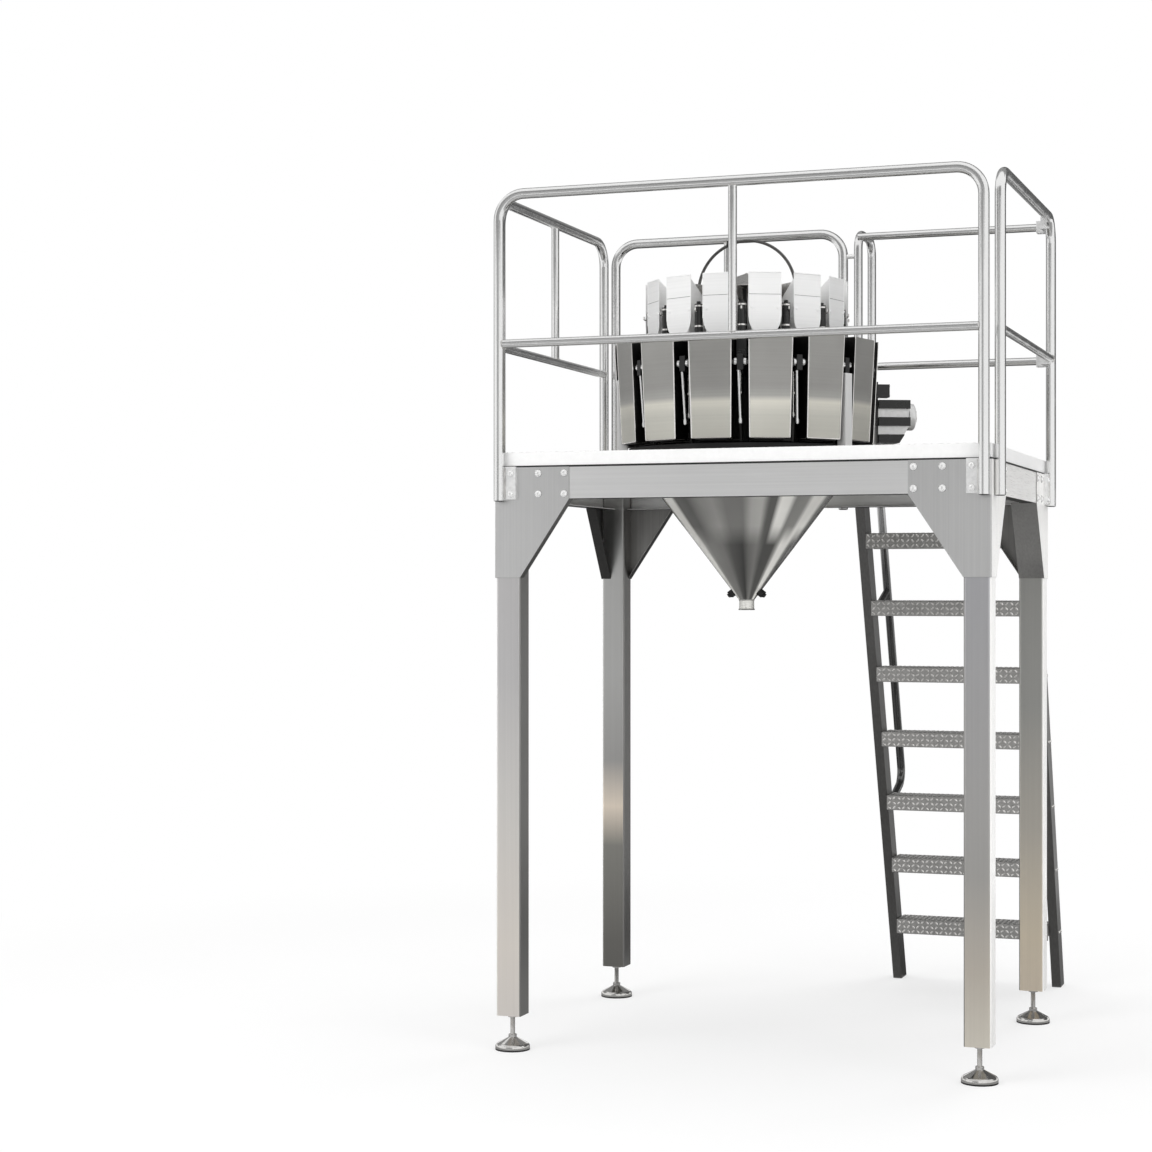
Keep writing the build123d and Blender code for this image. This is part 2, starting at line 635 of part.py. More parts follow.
def feed_front():
    """Front plate of a feed hopper, its lower corners rounded away."""
    h, foot = FEED_FRONT_HALF, FEED_FRONT_HALF - FEED_CORNER_WIDTH
    shoulder = FEED_BOTTOM + FEED_CORNER_HEIGHT
    top = Polyline((-h, shoulder), (-h, FEED_TOP), (h, FEED_TOP), (h, shoulder))
    right = TangentArc((h, shoulder), (foot, FEED_BOTTOM), tangent=(0, -1))
    low = Line((foot, FEED_BOTTOM), (-foot, FEED_BOTTOM))
    left = TangentArc((-h, shoulder), (-foot, FEED_BOTTOM), tangent=(0, -1))
    plane = Plane(origin=(0, SHEET - FEED_FRONT, 0), x_dir=(1, 0, 0), z_dir=(0, -1, 0))
    return extrude(plane * make_face(top + right + low + left), SHEET)


def feed_side(side):
    """Side plate of a feed hopper, lower at the back where the pan reaches in."""
    near, far = FEED_FRONT - SHEET, FEED_BACK + SHEET
    face = [(far, FEED_BOTTOM), (near, FEED_BOTTOM), (near, FEED_TOP), (far, FEED_BACK_TOP)]
    inner = FEED_HALF - SHEET
    plane = Plane(origin=(side * inner, 0, 0), x_dir=(0, -1, 0), z_dir=(-1, 0, 0))
    return upright(face, plane, -side * SHEET)


def feed_back():
    return block(-FEED_HALF, FEED_HALF, -FEED_BACK - SHEET, -FEED_BACK, FEED_BOTTOM, FEED_BACK_TOP)


def feed_gate():
    """Bottom flap of a feed hopper on its shaft."""
    z = FEED_BOTTOM - GATE_SHAFT
    reach = FEED_BACK + GATE_SHAFT
    shaft = rod((-FEED_HALF, -reach, z), (FEED_HALF, -reach, z), GATE_SHAFT)
    half = FEED_HALF - GATE_INSET
    flap = block(-half, half, GATE_INSET - FEED_FRONT, -reach, z, z + GATE_SHEET)
    return shaft + flap


def actuator():
    """Upright cylinder with a smaller cap, on a block that stands on an arm."""
    half = ACTUATOR_BASE / 2
    high = ARM_TOP + ACTUATOR_BASE_HEIGHT
    base = block(-half, half, -ACTUATOR_REACH - half, half - ACTUATOR_REACH, ARM_TOP, high)
    top = high + ACTUATOR_LENGTH
    barrel = rod((0, -ACTUATOR_REACH, high), (0, -ACTUATOR_REACH, top - ACTUATOR_CAP), ACTUATOR_RADIUS)
    cap = rod((0, -ACTUATOR_REACH, top - ACTUATOR_CAP), (0, -ACTUATOR_REACH, top), ACTUATOR_RADIUS / 2)
    return base + barrel + cap


# Feeders

def vibrator():
    half = VIBRATOR_WIDTH / 2
    return block(-half, half, -VIBRATOR_OUTER, -VIBRATOR_INNER, LID_TOP, PAN_BOTTOM)


def pan():
    """Open trough that widens to its outer end."""
    a, b, t = PAN_INNER_HALF, PAN_OUTER_HALF, SHEET
    z0, z1, z2 = PAN_BOTTOM, PAN_BOTTOM + SHEET, PAN_BOTTOM + PAN_HEIGHT
    near, far = -PAN_INNER, -PAN_OUTER

    def sheet(x0, x1, x2, x3, low, high):
        rim = [(x0, near), (x1, near), (x2, far), (x3, far)]
        return flat_sided([(x, y, low) for x, y in rim], [(x, y, high) for x, y in rim])

    return sheet(-a, a, b, -b, z0, z2) - sheet(t - a, a - t, b - t, t - b, z1, z2 + t)


def cone_post():
    return rod((0, 0, LID_TOP), (0, 0, TOP_CONE_BASE), CONE_POST_RADIUS)


def top_cone():
    """Dispersion cone over the inner ends of the pans."""
    rim = rod((0, 0, 0), (0, 0, TOP_CONE_RIM), TOP_CONE_RADIUS)
    slope = TOP_CONE_HEIGHT - TOP_CONE_RIM
    cone = Cone(TOP_CONE_RADIUS, TOP_CONE_TIP, slope, align=(Align.CENTER, Align.CENTER, Align.MIN))
    return Pos(AXIS_X, 0, TOP_CONE_BASE) * (rim + Pos(0, 0, TOP_CONE_RIM) * cone)


def arch():
    """Round bar over the top cone, standing on the lid between the pans."""
    r = ARCH_RADIUS
    up = Line((-r, 0, LID_TOP), (-r, 0, ARCH_CENTRE))
    over = ThreePointArc((-r, 0, ARCH_CENTRE), (0, 0, ARCH_CENTRE + r), (r, 0, ARCH_CENTRE))
    down = Line((r, 0, ARCH_CENTRE), (r, 0, LID_TOP))
    bar = sweep(Pos(-r, 0, LID_TOP) * Circle(ARCH_ROD), path=Wire([up, over, down]))
    return Pos(AXIS_X, 0, 0) * bar


def level_sensor():
    """Sensor clamped to the arch beside its top, looking down at the cone."""
    top = ARCH_CENTRE + sqrt(ARCH_RADIUS**2 - SENSOR_SIDE**2)
    half = SENSOR_CLAMP / 2
    clamp = block(-half, half, -half, half, top - half, top + half)
    eye = rod((0, 0, top - half - SENSOR_LENGTH), (0, 0, top - half), SENSOR_RADIUS)
    return Pos(AXIS_X + SENSOR_SIDE, 0, 0) * (clamp + eye) - arch()


# Discharge

def chute():
    """Round chute from the deck down to its outlet, hung in the deck by its flange."""
    inner = OUTLET_RADIUS - CHUTE_WALL
    outline = [(inner, OUTLET_BOTTOM), (OUTLET_RADIUS, OUTLET_BOTTOM), (OUTLET_RADIUS, OUTLET_TOP),
               (CHUTE_RADIUS, DECK_TOP), (CHUTE_FLANGE, DECK_TOP), (CHUTE_FLANGE, FLANGE_TOP),
               (CHUTE_RADIUS - CHUTE_WALL, FLANGE_TOP), (inner, OUTLET_TOP + CHUTE_WALL / 2)]
    wall = make_face(Polyline(*outline, close=True))
    return Pos(AXIS_X, 0, 0) * revolve(Plane.XZ * wall, Axis.Z)


def collar():
    """Rubber skirt that stands on the chute flange."""
    low, high = (0, 0, FLANGE_TOP), (0, 0, COLLAR_TOP)
    return Pos(AXIS_X, 0, 0) * (rod(low, high, COLLAR_OUTER) - rod(low, high, COLLAR_INNER))


def power_unit():
    """Finned housing with a round end cover, and a small junction box, on a plate against a column."""
    face = COLUMN_RADIUS + COLUMN_SIZE / 2
    wide = UNIT_PLATE_WIDTH / 2
    plate = block(-wide, wide, -face - UNIT_PLATE, -face, UNIT_BOTTOM, ARM_BOTTOM)
    near, far = face + UNIT_PLATE, face + UNIT_PLATE + UNIT_LENGTH
    half = UNIT_WIDTH / 2
    side = [(near, UNIT_BOTTOM), (far - UNIT_CUT_LENGTH, UNIT_BOTTOM),
            (far, UNIT_BOTTOM + UNIT_CUT_HEIGHT), (far, UNIT_TOP), (near, UNIT_TOP)]
    plane = Plane(origin=(half, 0, 0), x_dir=(0, -1, 0), z_dir=(-1, 0, 0))
    body = upright(side, plane, UNIT_WIDTH)
    step = UNIT_HEIGHT / (2 * UNIT_FINS - 1)
    for k in range(UNIT_FINS - 1):
        z = UNIT_BOTTOM + (2 * k + 1) * step
        body = body - block(half - UNIT_FIN_DEPTH, half, -far, -near, z, z + step)
        body = body - block(-half, UNIT_FIN_DEPTH - half, -far, -near, z, z + step)
    z = UNIT_TOP - UNIT_END_RADIUS - UNIT_END_ROUND
    cover = rod((0, -far, z), (0, -far - UNIT_END_LENGTH, z), UNIT_END_RADIUS)
    cover = fillet(cover.edges().sort_by(Axis.Y)[0], UNIT_END_ROUND)
    j = JUNCTION_SIZE
    junction = block(-j / 2, j / 2, -near - j, -near, JUNCTION_BOTTOM, JUNCTION_BOTTOM + j)
    return plate + body + cover + junction


def assembly():
    """Every node by name, as a list of solids that stand apart."""
    nodes = {}
    for end, row in ((-1, "front"), (1, "rear")):
        for side, hand in ((-1, "left"), (1, "right")):
            nodes[f"leg_{row}_{hand}"] = [leg(side, end)]
            nodes[f"knees_{row}_{hand}"] = corner_knees(side, end)
    nodes["levelling_feet"] = [place * levelling_foot() for place in foot_places()]
    rubber = rod((0, 0, 0), (0, 0, FOOT_RUBBER), FOOT_RADIUS)
    nodes["foot_rubbers"] = [place * rubber for place in foot_places()]
    long_beam = beam(PLATFORM_WIDTH - 2 * LEG_SIZE)
    short_beam = beam(PLATFORM_DEPTH - 2 * LEG_SIZE)
    nodes["beam_front"] = [FRONT * long_beam]
    nodes["beam_rear"] = [REAR * long_beam]
    nodes["beam_left"] = [LEFT * short_beam]
    nodes["beam_right"] = [RIGHT * short_beam]
    nodes["deck_joists"] = deck_joists()
    nodes["deck_panels"] = deck_panels()
    nodes["deck_edges"] = deck_edges()

    nodes["guard_front"] = [guard(FRONT * OUTWARD, -FRONT_POST_X, FRONT_POST_X, True)]
    nodes["guard_left"] = [left_guard()]
    nodes["guard_right"] = [right_guard()]
    nodes["guard_rear"] = [guard(REAR * OUTWARD, -REAR_GUARD_END, FRONT_POST_X, True)]
    nodes["guard_brackets"] = guard_brackets() + bar_cups() + hoop_ties()
    nodes["stair_head_bars"] = stair_head_bars()
    nodes["stair_stringer_left"] = [stringer(STAIR_LEFT, HALF_D)]
    nodes["stair_stringer_right"] = [stringer(STAIR_RIGHT, HALF_D + KNEE_PLATE)]
    nodes["stair_treads"] = treads()
    nodes["stair_handrail"] = [stair_handrail()]

    nodes["weigher_columns"] = round_heads(column(), 0.5, COLUMN_HEADS)
    nodes["hanger_arms"] = round_heads(arm(), 0.5)
    nodes["weigher_drum"] = [drum()]
    nodes["gate_drives"] = round_heads(drive_unit())
    front, right, back, left = weigh_plates()
    nodes["weigh_hopper_ends"] = round_heads(front) + round_heads(back)
    nodes["weigh_hopper_sides"] = round_heads(right) + round_heads(left)
    nodes["weigh_hopper_gates"] = round_heads(weigh_gate())
    pin_left, pin_right = hanger_pins()
    nodes["hopper_links"] = round_heads(pin_left) + round_heads(pin_right) + round_heads(gate_rod())
    nodes["feed_hopper_ends"] = round_heads(feed_front()) + round_heads(feed_back())
    nodes["feed_hopper_sides"] = round_heads(feed_side(-1)) + round_heads(feed_side(1))
    nodes["feed_hopper_gates"] = round_heads(feed_gate())
    nodes["gate_actuators"] = round_heads(actuator(), 0.5)
    nodes["vibrators"] = round_heads(vibrator()) + [Pos(AXIS_X, 0, 0) * cone_post()]
    nodes["feeder_pans"] = round_heads(pan())
    nodes["top_cone"] = [top_cone()]
    nodes["arch"] = [arch()]
    nodes["level_sensor"] = [level_sensor()]
    nodes["discharge_chute"] = [chute()]
    nodes["chute_collar"] = [collar()]
    nodes["power_unit"] = round_heads(power_unit(), 0.5, [UNIT_HEAD])
    return nodes


def write():
    """Move the origin to the middle of the floor area and write one file for each node."""
    os.makedirs("parts", exist_ok=True)
    shapes = {}
    for name, pieces in assembly().items():
        shapes[name] = Compound([solid for piece in pieces for solid in piece.solids()])
    middle = Compound(list(shapes.values())).bounding_box().center()
    print("origin moved by", -middle.X, -middle.Y)
    for name, shape in shapes.items():
        export_step(Pos(-middle.X, -middle.Y, 0) * shape, f"parts/{name}.step")


write()
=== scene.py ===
from itertools import product
from math import cos, pi, radians, sin, tan

import bmesh
import bpy
from mathutils import Matrix, Vector


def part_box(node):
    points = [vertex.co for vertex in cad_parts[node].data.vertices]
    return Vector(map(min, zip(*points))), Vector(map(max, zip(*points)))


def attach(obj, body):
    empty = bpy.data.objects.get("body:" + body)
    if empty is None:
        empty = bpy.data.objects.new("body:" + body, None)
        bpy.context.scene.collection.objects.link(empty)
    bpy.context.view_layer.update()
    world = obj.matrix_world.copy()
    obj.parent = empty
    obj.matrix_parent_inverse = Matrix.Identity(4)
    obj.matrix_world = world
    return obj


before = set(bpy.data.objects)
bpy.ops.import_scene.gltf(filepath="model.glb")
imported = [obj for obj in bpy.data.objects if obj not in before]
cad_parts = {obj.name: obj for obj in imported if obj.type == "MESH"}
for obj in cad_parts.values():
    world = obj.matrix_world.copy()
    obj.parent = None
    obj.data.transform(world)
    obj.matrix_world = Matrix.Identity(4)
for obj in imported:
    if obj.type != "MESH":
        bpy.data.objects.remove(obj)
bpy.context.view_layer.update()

# Camera; all lengths here are in metres, all angles in degrees
CAMERA_PLACE = (2.370, -9.404, 1.778)
CAMERA_TURN = 19.84
CAMERA_LENS = 72.67
CAMERA_SENSOR = 36.0
CAMERA_SHIFT = 0.010
CAMERA_REACH = 200.0

# Light
WHITE = (1.0, 1.0, 1.0, 1.0)
BLACK = (0.0, 0.0, 0.0, 1.0)
SKY_LEVEL = 0.62
AIM_HEIGHT = 1.7
FLOOR_TONE = 0.92
FLOOR_LIFT = 0.60
FLOOR_HALF = 30.0
FLOOR_NEAR = 2.6
FLOOR_FAR = 5.0

# Directions
UP, DOWN = (0, 0, 1), (0, 0, -1)
TO_REAR, TO_FRONT = (0, 1, 0), (0, -1, 0)
TO_RIGHT, TO_LEFT = (1, 0, 0), (-1, 0, 0)

# Platform sizes that are the same all round
KNEE_PLATE = 0.003
BRACKET_PLATE = 0.014
POST_RADIUS = 0.020
RAIL_RADIUS = 0.016
POST_INSET = 0.022
SIDE_POST_INSET = 0.055
LEFT_GUARD_SHIFT = 0.050
MID_RAIL_RISE = 0.415
CAP_DEPTH = 0.003
CAP_ROUND = 0.0008
CAP_SHARE = 0.98
CAP_FLAT_SHARE = 0.7
# Dark bead of painted shade along the joint of the deck edges and the beams
SEAM_RADIUS = 0.0036
SEAM_OUT = 0.0008
# Dark ring of painted shadow round each knee bolt
BOLT_SHADOW_RADIUS = 0.0009
EDGE_SLACK = 0.0005

# Bolts: places and sizes, where one is a head of 19 mm on a washer of 25 mm
BOLT_COLUMNS = (0.175, 0.280)
BOLT_LOW = 0.020
BOLT_HIGH = 0.026
BRACKET_BOLT = 0.045
STEP_BOLT_SIDE = 0.022
FLANGE_BOLTS = 28
FLANGE_BOLT_INSET = 0.004
BOLT_SCALE = 1.12
STEP_BOLT_SCALE = 0.75
SMALL_BOLT_SCALE = 0.6
SCREW_SCALE = 0.5
SMALL_SCREW_SCALE = 0.35
FLANGE_BOLT_SCALE = 0.28

# Welds
WELD_RADIUS = 0.0035
WELD_RIPPLE = 0.0010
WELD_STEPS = 26
WELD_GAP = 0.002
WELD_END = 0.004
BEAD_RADIUS = 0.0028
SIDE_BEAD_SHARE = 0.82
POST_BEAD_SHARE = 0.80

# Checker plate
PLATE_PITCH = 0.030
STEP_PITCH = 0.021
LOZENGE_LENGTH = 0.028
LOZENGE_WIDTH = 0.0105
LOZENGE_RISE = 0.0016
LOZENGE_WAIST = 0.45
LOZENGE_TOP = (0.7, 0.5)
CHUTE_CLEAR = 0.6
BETWEEN_FEET = 0.7
STEP_LIP = 0.065
STEP_SLACK = 0.001

# Handrail levels from the deck: full painted shade below the first, none above the second
RAIL_SHADE_FULL = -0.45
RAIL_SHADE_END = 0.15

# Levelling feet
FOOT_RADIUS = 0.067
THREADS = 20
THREAD_LOW = 0.061
THREAD_PITCH = 0.0032
THREAD_RADIUS = 0.0088
THREAD_BEAD = 0.0010
STEM_COLLAR_LEVEL = 0.0575
STEM_COLLAR_RADIUS = 0.0140
STEM_COLLAR_BEAD = 0.0025

# Weigher sizes, measured out from its axis
HEADS = 14
PITCH = 360.0 / HEADS
PANEL_TOP_REACH = 0.520
PANEL_LOW_REACH = 0.500
PANEL_TOP_HALF = 0.084
PANEL_LOW_HALF = 0.077
HEM_RADIUS = 0.0022
PIN_REACH = 0.470
PIN_ABOVE_ARM = 0.032
COLLAR_SHARES = (0.80, 0.865)
ARM_REACH = 0.515
ARM_PIN_INSET = 0.014
ARM_ROD_SIDE = 0.007
ARM_ROD_RADIUS = 0.0055
ARM_ROD_LENGTH = 0.190
ARM_ROD_LEAN = 0.012
ARM_ROD_SINK = 0.002
ROD_REACH = 0.445
ROD_SIDE = 0.100
ROD_LENGTH = 0.170
SPRING_TURNS = 8
SPRING_STEPS = 14
SPRING_RADIUS = 0.0085
SPRING_WIRE = 0.0014
SPRING_LENGTH = 0.075
SPRING_GAP = 0.004
COLUMN_GAPS = (2.5, 4.5, 9.5, 11.5)
COLUMN_BOLT_REACHES = (0.486, 0.552)
COLUMN_BOLT_SIDE = 0.026
COLUMN_FOOT = 0.010

# Feed hoppers, with shares of their height and width
FEED_REACH = 0.398
FEED_HALF = 0.063
FEED_CORNER = 0.062
SIDE_HEM_SHARE = 0.7
KNOB_RISE_SHARE = 0.42
KNOB_SIDE_SHARE = 0.80
SEAM_DROP_SHARE = 0.36
SEAM_SIDE_SHARE = 0.98
FEED_SEAM_RADIUS = 0.0008

# Gate cylinders
ACTUATOR_REACH = 0.386
ACTUATOR_RADIUS = 0.016
ACTUATOR_BASE = 0.080
BAND_LEVELS = (0.004, 0.040, 0.118)
ELBOW_RADIUS = 0.0035

# Feeder pans and top cone, with shares of the cone's radius and rise at the ends of a rib
PAN_INNER = 0.165
PAN_OUTER = 0.345
PAN_SHEET = 0.003
DIMPLE_ROWS = 9
DIMPLE_COLUMNS = 4
DIMPLE_START = 0.7
DIMPLE_SPARE = 0.4
DIMPLE_HALF = 0.020
DIMPLE_SPREAD = 0.010
CONE_RIM = 0.004
RIB_RADIUS = 0.0022
RIB_ENDS = ((0.93, 0.045), (0.30, 0.705))
CONE_BOLT_SINK = 0.0005

# Power unit, in the gap after head 4
UNIT_GAP = 4.5
UNIT_FACE_REACH = 0.652
UNIT_END_REACH = 0.680
UNIT_HEIGHT = 0.172
UNIT_CORE_HALF = 0.047
UNIT_CORE_LENGTH = 0.12
UNIT_COVER_DROP = 0.064
UNIT_SCREWS = 6
UNIT_SCREW_RADIUS = 0.036
JUNCTION_REACH = 0.576
JUNCTION_SCREW_SIDE = 0.019
JUNCTION_SCREW_RISES = (0.192, 0.230)

# Chute
CHUTE_RADIUS = 0.460
CHUTE_BLEND = (0.42, 0.54)
CHUTE_SEAM_RADIUS = 0.0018
SPOUT_RADIUS = 0.030
SPOUT_LENGTH = 0.040
SPOUT_EDGE = 0.004
SPOUT_LIP = 0.003
SPOUT_BAND = 0.002

# Toggle clamps beside the spout
CLAMP_OUT = 0.054
CLAMP_RISE = 0.072
CLAMP_SLOPE = (0.797, -0.604)
CLAMP_HALF_LENGTH = 0.020
CLAMP_HALF_WIDTH = 0.013
CLAMP_CORNER = 0.004
CLAMP_SINK = 0.004
CLAMP_BODY = 0.018
CLAMP_TOP = 0.026
CLAMP_TOP_SHARE = 0.6
CLAMP_LEVER_RADIUS = 0.004

# Places taken from the frame
beam_low, beam_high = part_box("beam_front")
rear_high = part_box("beam_rear")[1]
left_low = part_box("beam_left")[0]
right_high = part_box("beam_right")[1]
deck_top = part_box("deck_edges")[1].z
rail_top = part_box("guard_front")[1].z
post_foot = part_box("guard_front")[0].z
chute_low, chute_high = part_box("discharge_chute")
panel_low, panel_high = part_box("weigh_hopper_ends")
feed_low, feed_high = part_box("feed_hopper_ends")
arm_low, arm_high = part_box("hanger_arms")
pan_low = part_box("feeder_pans")[0]
cone_low, cone_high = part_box("top_cone")

front_y, rear_y = beam_low.y, rear_high.y
left_x, right_x = left_low.x, right_high.x
middle_y = (front_y + rear_y) / 2
half_width = (right_x - left_x) / 2
half_depth = (rear_y - front_y) / 2
rail_z = rail_top - POST_RADIUS
mid_z = deck_top + MID_RAIL_RISE
pin_z = arm_low.z + PIN_ABOVE_ARM
neck_z = chute_low.z + SPOUT_LENGTH
unit_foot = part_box("power_unit")[0].z
bolt_rows = (beam_low.z + BOLT_LOW, beam_high.z - BOLT_HIGH)
post_x = half_width - POST_INSET
side_x = half_depth - SIDE_POST_INSET
rear_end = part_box("guard_rear")[1].x - POST_RADIUS
flange_radius = (chute_high.x - chute_low.x) / 2
axis = Vector(((chute_low.x + chute_high.x) / 2, (chute_low.y + chute_high.y) / 2, 0))

# Each face of the platform with x along it, y inward and z up
FRONT = Matrix.Translation((0, front_y, 0))
REAR = Matrix.Translation((0, rear_y, 0)) @ Matrix.Rotation(pi, 4, "Z")
LEFT = Matrix.Translation((left_x, middle_y, 0)) @ Matrix.Rotation(-pi / 2, 4, "Z")
RIGHT = Matrix.Translation((right_x, middle_y, 0)) @ Matrix.Rotation(pi / 2, 4, "Z")


# Mesh helpers

def at(x, y, z):
    """Matrix of a plain shift to a place."""
    return Matrix.Translation((x, y, z))


def facing(place, outward):
    """Matrix at a place whose z axis points outward."""
    turn = Vector(outward).to_track_quat("Z", "Y").to_matrix().to_4x4()
    return Matrix.Translation(place) @ turn


def head_place(k):
    """Matrix of head k of the weigher; a half more gives the gap after it."""
    return Matrix.Translation(axis) @ Matrix.Rotation(radians(k * PITCH), 4, "Z")


def on_head(k, x, reach, z):
    """Point at head k of the weigher: across it, out from the axis, and up."""
    return head_place(k) @ Vector((x, -reach, z))


def circle(radius, height, sides):
    """Points round the z axis."""
    turns = [2 * pi * k / sides for k in range(sides)]
    return [Vector((radius * cos(t), radius * sin(t), height)) for t in turns]


def skin(bm, a, b):
    """Faces between two rings of corners."""
    for k in range(len(a)):
        j = (k + 1) % len(a)
        bm.faces.new((a[k], a[j], b[j], b[k]))


def lathe(bm, place, profile, sides):
    """Turned form about the z axis of a matrix; the profile is a list of radius and height."""
    rings = []
    for radius, height in profile:
        points = circle(radius, height, sides if radius else 1)
        rings.append([bm.verts.new(place @ p) for p in points])
    for a, b in zip(rings, rings[1:]):
        for k in range(sides):
            j = (k + 1) % sides
            corners = [a[k % len(a)], a[j % len(a)], b[j % len(b)], b[k % len(b)]]
            corners = [v for i, v in enumerate(corners) if v not in corners[:i]]
            if len(corners) > 2:
                bm.faces.new(corners)
    for end in (rings[0], rings[-1]):
        if len(end) > 1:
            bm.faces.new(end)


def tube(bm, points, radius, sides=8, closed=False):
    """Round bar along points, with flat ends unless it closes on itself."""
    points = [Vector(p) for p in points]
    count = len(points)
    rings = []
    side = None
    for i, p in enumerate(points):
        before = points[(i - 1) % count] if closed or i else p
        after = points[(i + 1) % count] if closed or i < count - 1 else p
        along = (after - before).normalized()
        if side is None:
            side = along.orthogonal()
        side = (side - along * side.dot(along)).normalized()
        up = along.cross(side)
        r = radius[i] if isinstance(radius, (list, tuple)) else radius
        turns = [2 * pi * k / sides for k in range(sides)]
        rings.append([bm.verts.new(p + (side * cos(t) + up * sin(t)) * r) for t in turns])
    pairs = list(zip(rings, rings[1:]))
    if closed:
        pairs.append((rings[-1], rings[0]))
    for a, b in pairs:
        skin(bm, a, b)
    if not closed:
        bm.faces.new(rings[0])
        bm.faces.new(rings[-1])


def ring(bm, place, major, minor, steps=24, sides=6):
    """Round bead about the z axis of a matrix."""
    tube(bm, [place @ p for p in circle(major, 0, steps)], minor, sides, True)


def add(name, data):
    """New object in the scene."""
    thing = bpy.data.objects.new(name, data)
    bpy.context.scene.collection.objects.link(thing)
    return thing


def piece(name, bm, material, smooth=35.0):
    """Finished mesh that rides on the object."""
    bmesh.ops.recalc_face_normals(bm, faces=bm.faces)
    mesh = bpy.data.meshes.new(name)
    bm.to_mesh(mesh)
    bm.free()
    mesh.shade_smooth()
    mesh.set_sharp_from_angle(angle=radians(smooth))
    mesh.materials.append(material)
    thing = add(name, mesh)
    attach(thing, "root")


# Materials

def fill(made, values):
    """Sockets of a shader node set by name."""
    for key, value in values.items():
        made.inputs[key.replace("_", " ")].default_value = value


def node(tree, kind, links=None, **values):
    """Shader node with its sockets set by name and linked by name."""
    made = tree.nodes.new("ShaderNode" + kind)
    fill(made, values)
    for key, source in (links or {}).items():
        tree.links.new(source, made.inputs[key])
    return made


def ramp(tree, factor, stops):
    """Colour ramp through grey stops of place and tone, or of place and colour."""
    made = node(tree, "ValToRGB")
    tree.links.new(factor, made.inputs["Fac"])
    points = made.color_ramp.elements
    while len(points) < len(stops):
        points.new(0.5)
    for point, (place, tone) in zip(points, stops):
        point.position = place
        point.color = (*tone, 1.0) if isinstance(tone, tuple) else (tone, tone, tone, 1.0)
    return made.outputs["Color"]


def own_place(tree):
    """Place in the object's own coordinates."""
    return node(tree, "TexCoord").outputs["Object"]


def noise(tree, stretch, detail=2.0):
    """Noise stretched over the object's own coordinates."""
    scale = node(tree, "Mapping", {"Vector": own_place(tree)}, Scale=stretch)
    links = {"Vector": scale.outputs["Vector"]}
    return node(tree, "TexNoise", links, Scale=1.0, Detail=detail).outputs["Fac"]


def mixed(tree, a, b, share=None):
    """Second colour over the first by a share, or the product of both where no share is given."""
    made = node(tree, "Mix")
    made.data_type = "RGBA"
    tree.links.new(a, made.inputs["A"])
    tree.links.new(b, made.inputs["B"])
    if share is None:
        made.blend_type = "MULTIPLY"
        made.inputs["Factor"].default_value = 1.0
    else:
        tree.links.new(share, made.inputs["Factor"])
    return made.outputs["Result"]


def height_share(tree, low, high):
    """Nought at one level of the object and one at another."""
    split = node(tree, "SeparateXYZ", {"Vector": own_place(tree)})
    links = {"Value": split.outputs["Z"]}
    return node(tree, "MapRange", links, From_Min=low, From_Max=high).outputs["Result"]


def spread(tree, factor, low, high):
    """Noise value carried to a range."""
    made = node(tree, "MapRange", {"Value": factor},
                From_Min=0.3, From_Max=0.7, To_Min=low, To_Max=high)
    return made.outputs["Result"]


def relief(tree, shader, height, strength, distance):
    """Bump from a height on a shader's normal."""
    made = node(tree, "Bump", {"Height": height}, Strength=strength, Distance=distance)
    tree.links.new(made.outputs["Normal"], shader.inputs["Normal"])


def blank(name):
    """Material with its tree and shader."""
    material = bpy.data.materials.new(name)
    material.use_nodes = True
    tree = material.node_tree
    return material, tree, tree.nodes["Principled BSDF"]


def coat(tree, shader, colour, grain, sheen, metal, bump=0.0):
    """Colour, roughness in a range by a grain, share of metal, and relief of the same grain."""
    tree.links.new(colour, shader.inputs["Base Color"])
    tree.links.new(spread(tree, grain, *sheen), shader.inputs["Roughness"])
    shader.inputs["Metallic"].default_value = metal
    if bump:
        relief(tree, shader, grain, bump, GRAIN_DEPTH)


# How much the noise is packed along each axis, for each run of the brush
BRUSH = {"x": (0.9, 150, 150), "y": (150, 0.9, 150), "z": (150, 150, 0.9),
         "level": (1.2, 1.2, 150), "all": (60, 60, 60), "soft": (1.5, 1.5, 1.5)}
FINE = 6.0
PATCH = (2.1, 2.1, 1.7)
GRAIN_DEPTH = 0.0004
GRIT_DEPTH = 0.0005
NEUTRAL = (1.0, 1.0, 0.995)
WARM = (1.0, 0.985, 0.96)
PALE = (1.0, 0.993, 0.975)


def brushed(tree, brush):
    """Fine noise of a brush."""
    return noise(tree, tuple(FINE * s for s in BRUSH[brush]))


def steel(name, tone, rough, brush, streak=0.035, cloud=0.06, tint=WARM, bump=0.12, metal=1.0):
    """Brushed steel whose streaks run along an axis."""
    material, tree, shader = blank(name)
    broad = noise(tree, BRUSH[brush])
    patch = noise(tree, PATCH, 3.0)

    def shade(share):
        return tuple(tone * share * c for c in tint)

    streaks = ramp(tree, broad, [(0.25, shade(1 - streak)), (0.75, shade(1 + streak))])
    patches = ramp(tree, patch, [(0.3, 1.0), (0.7, 1.0 - cloud)])
    sheen = (rough - 0.05, rough + 0.07)
    coat(tree, shader, mixed(tree, streaks, patches), brushed(tree, brush), sheen, metal, bump)
    return material


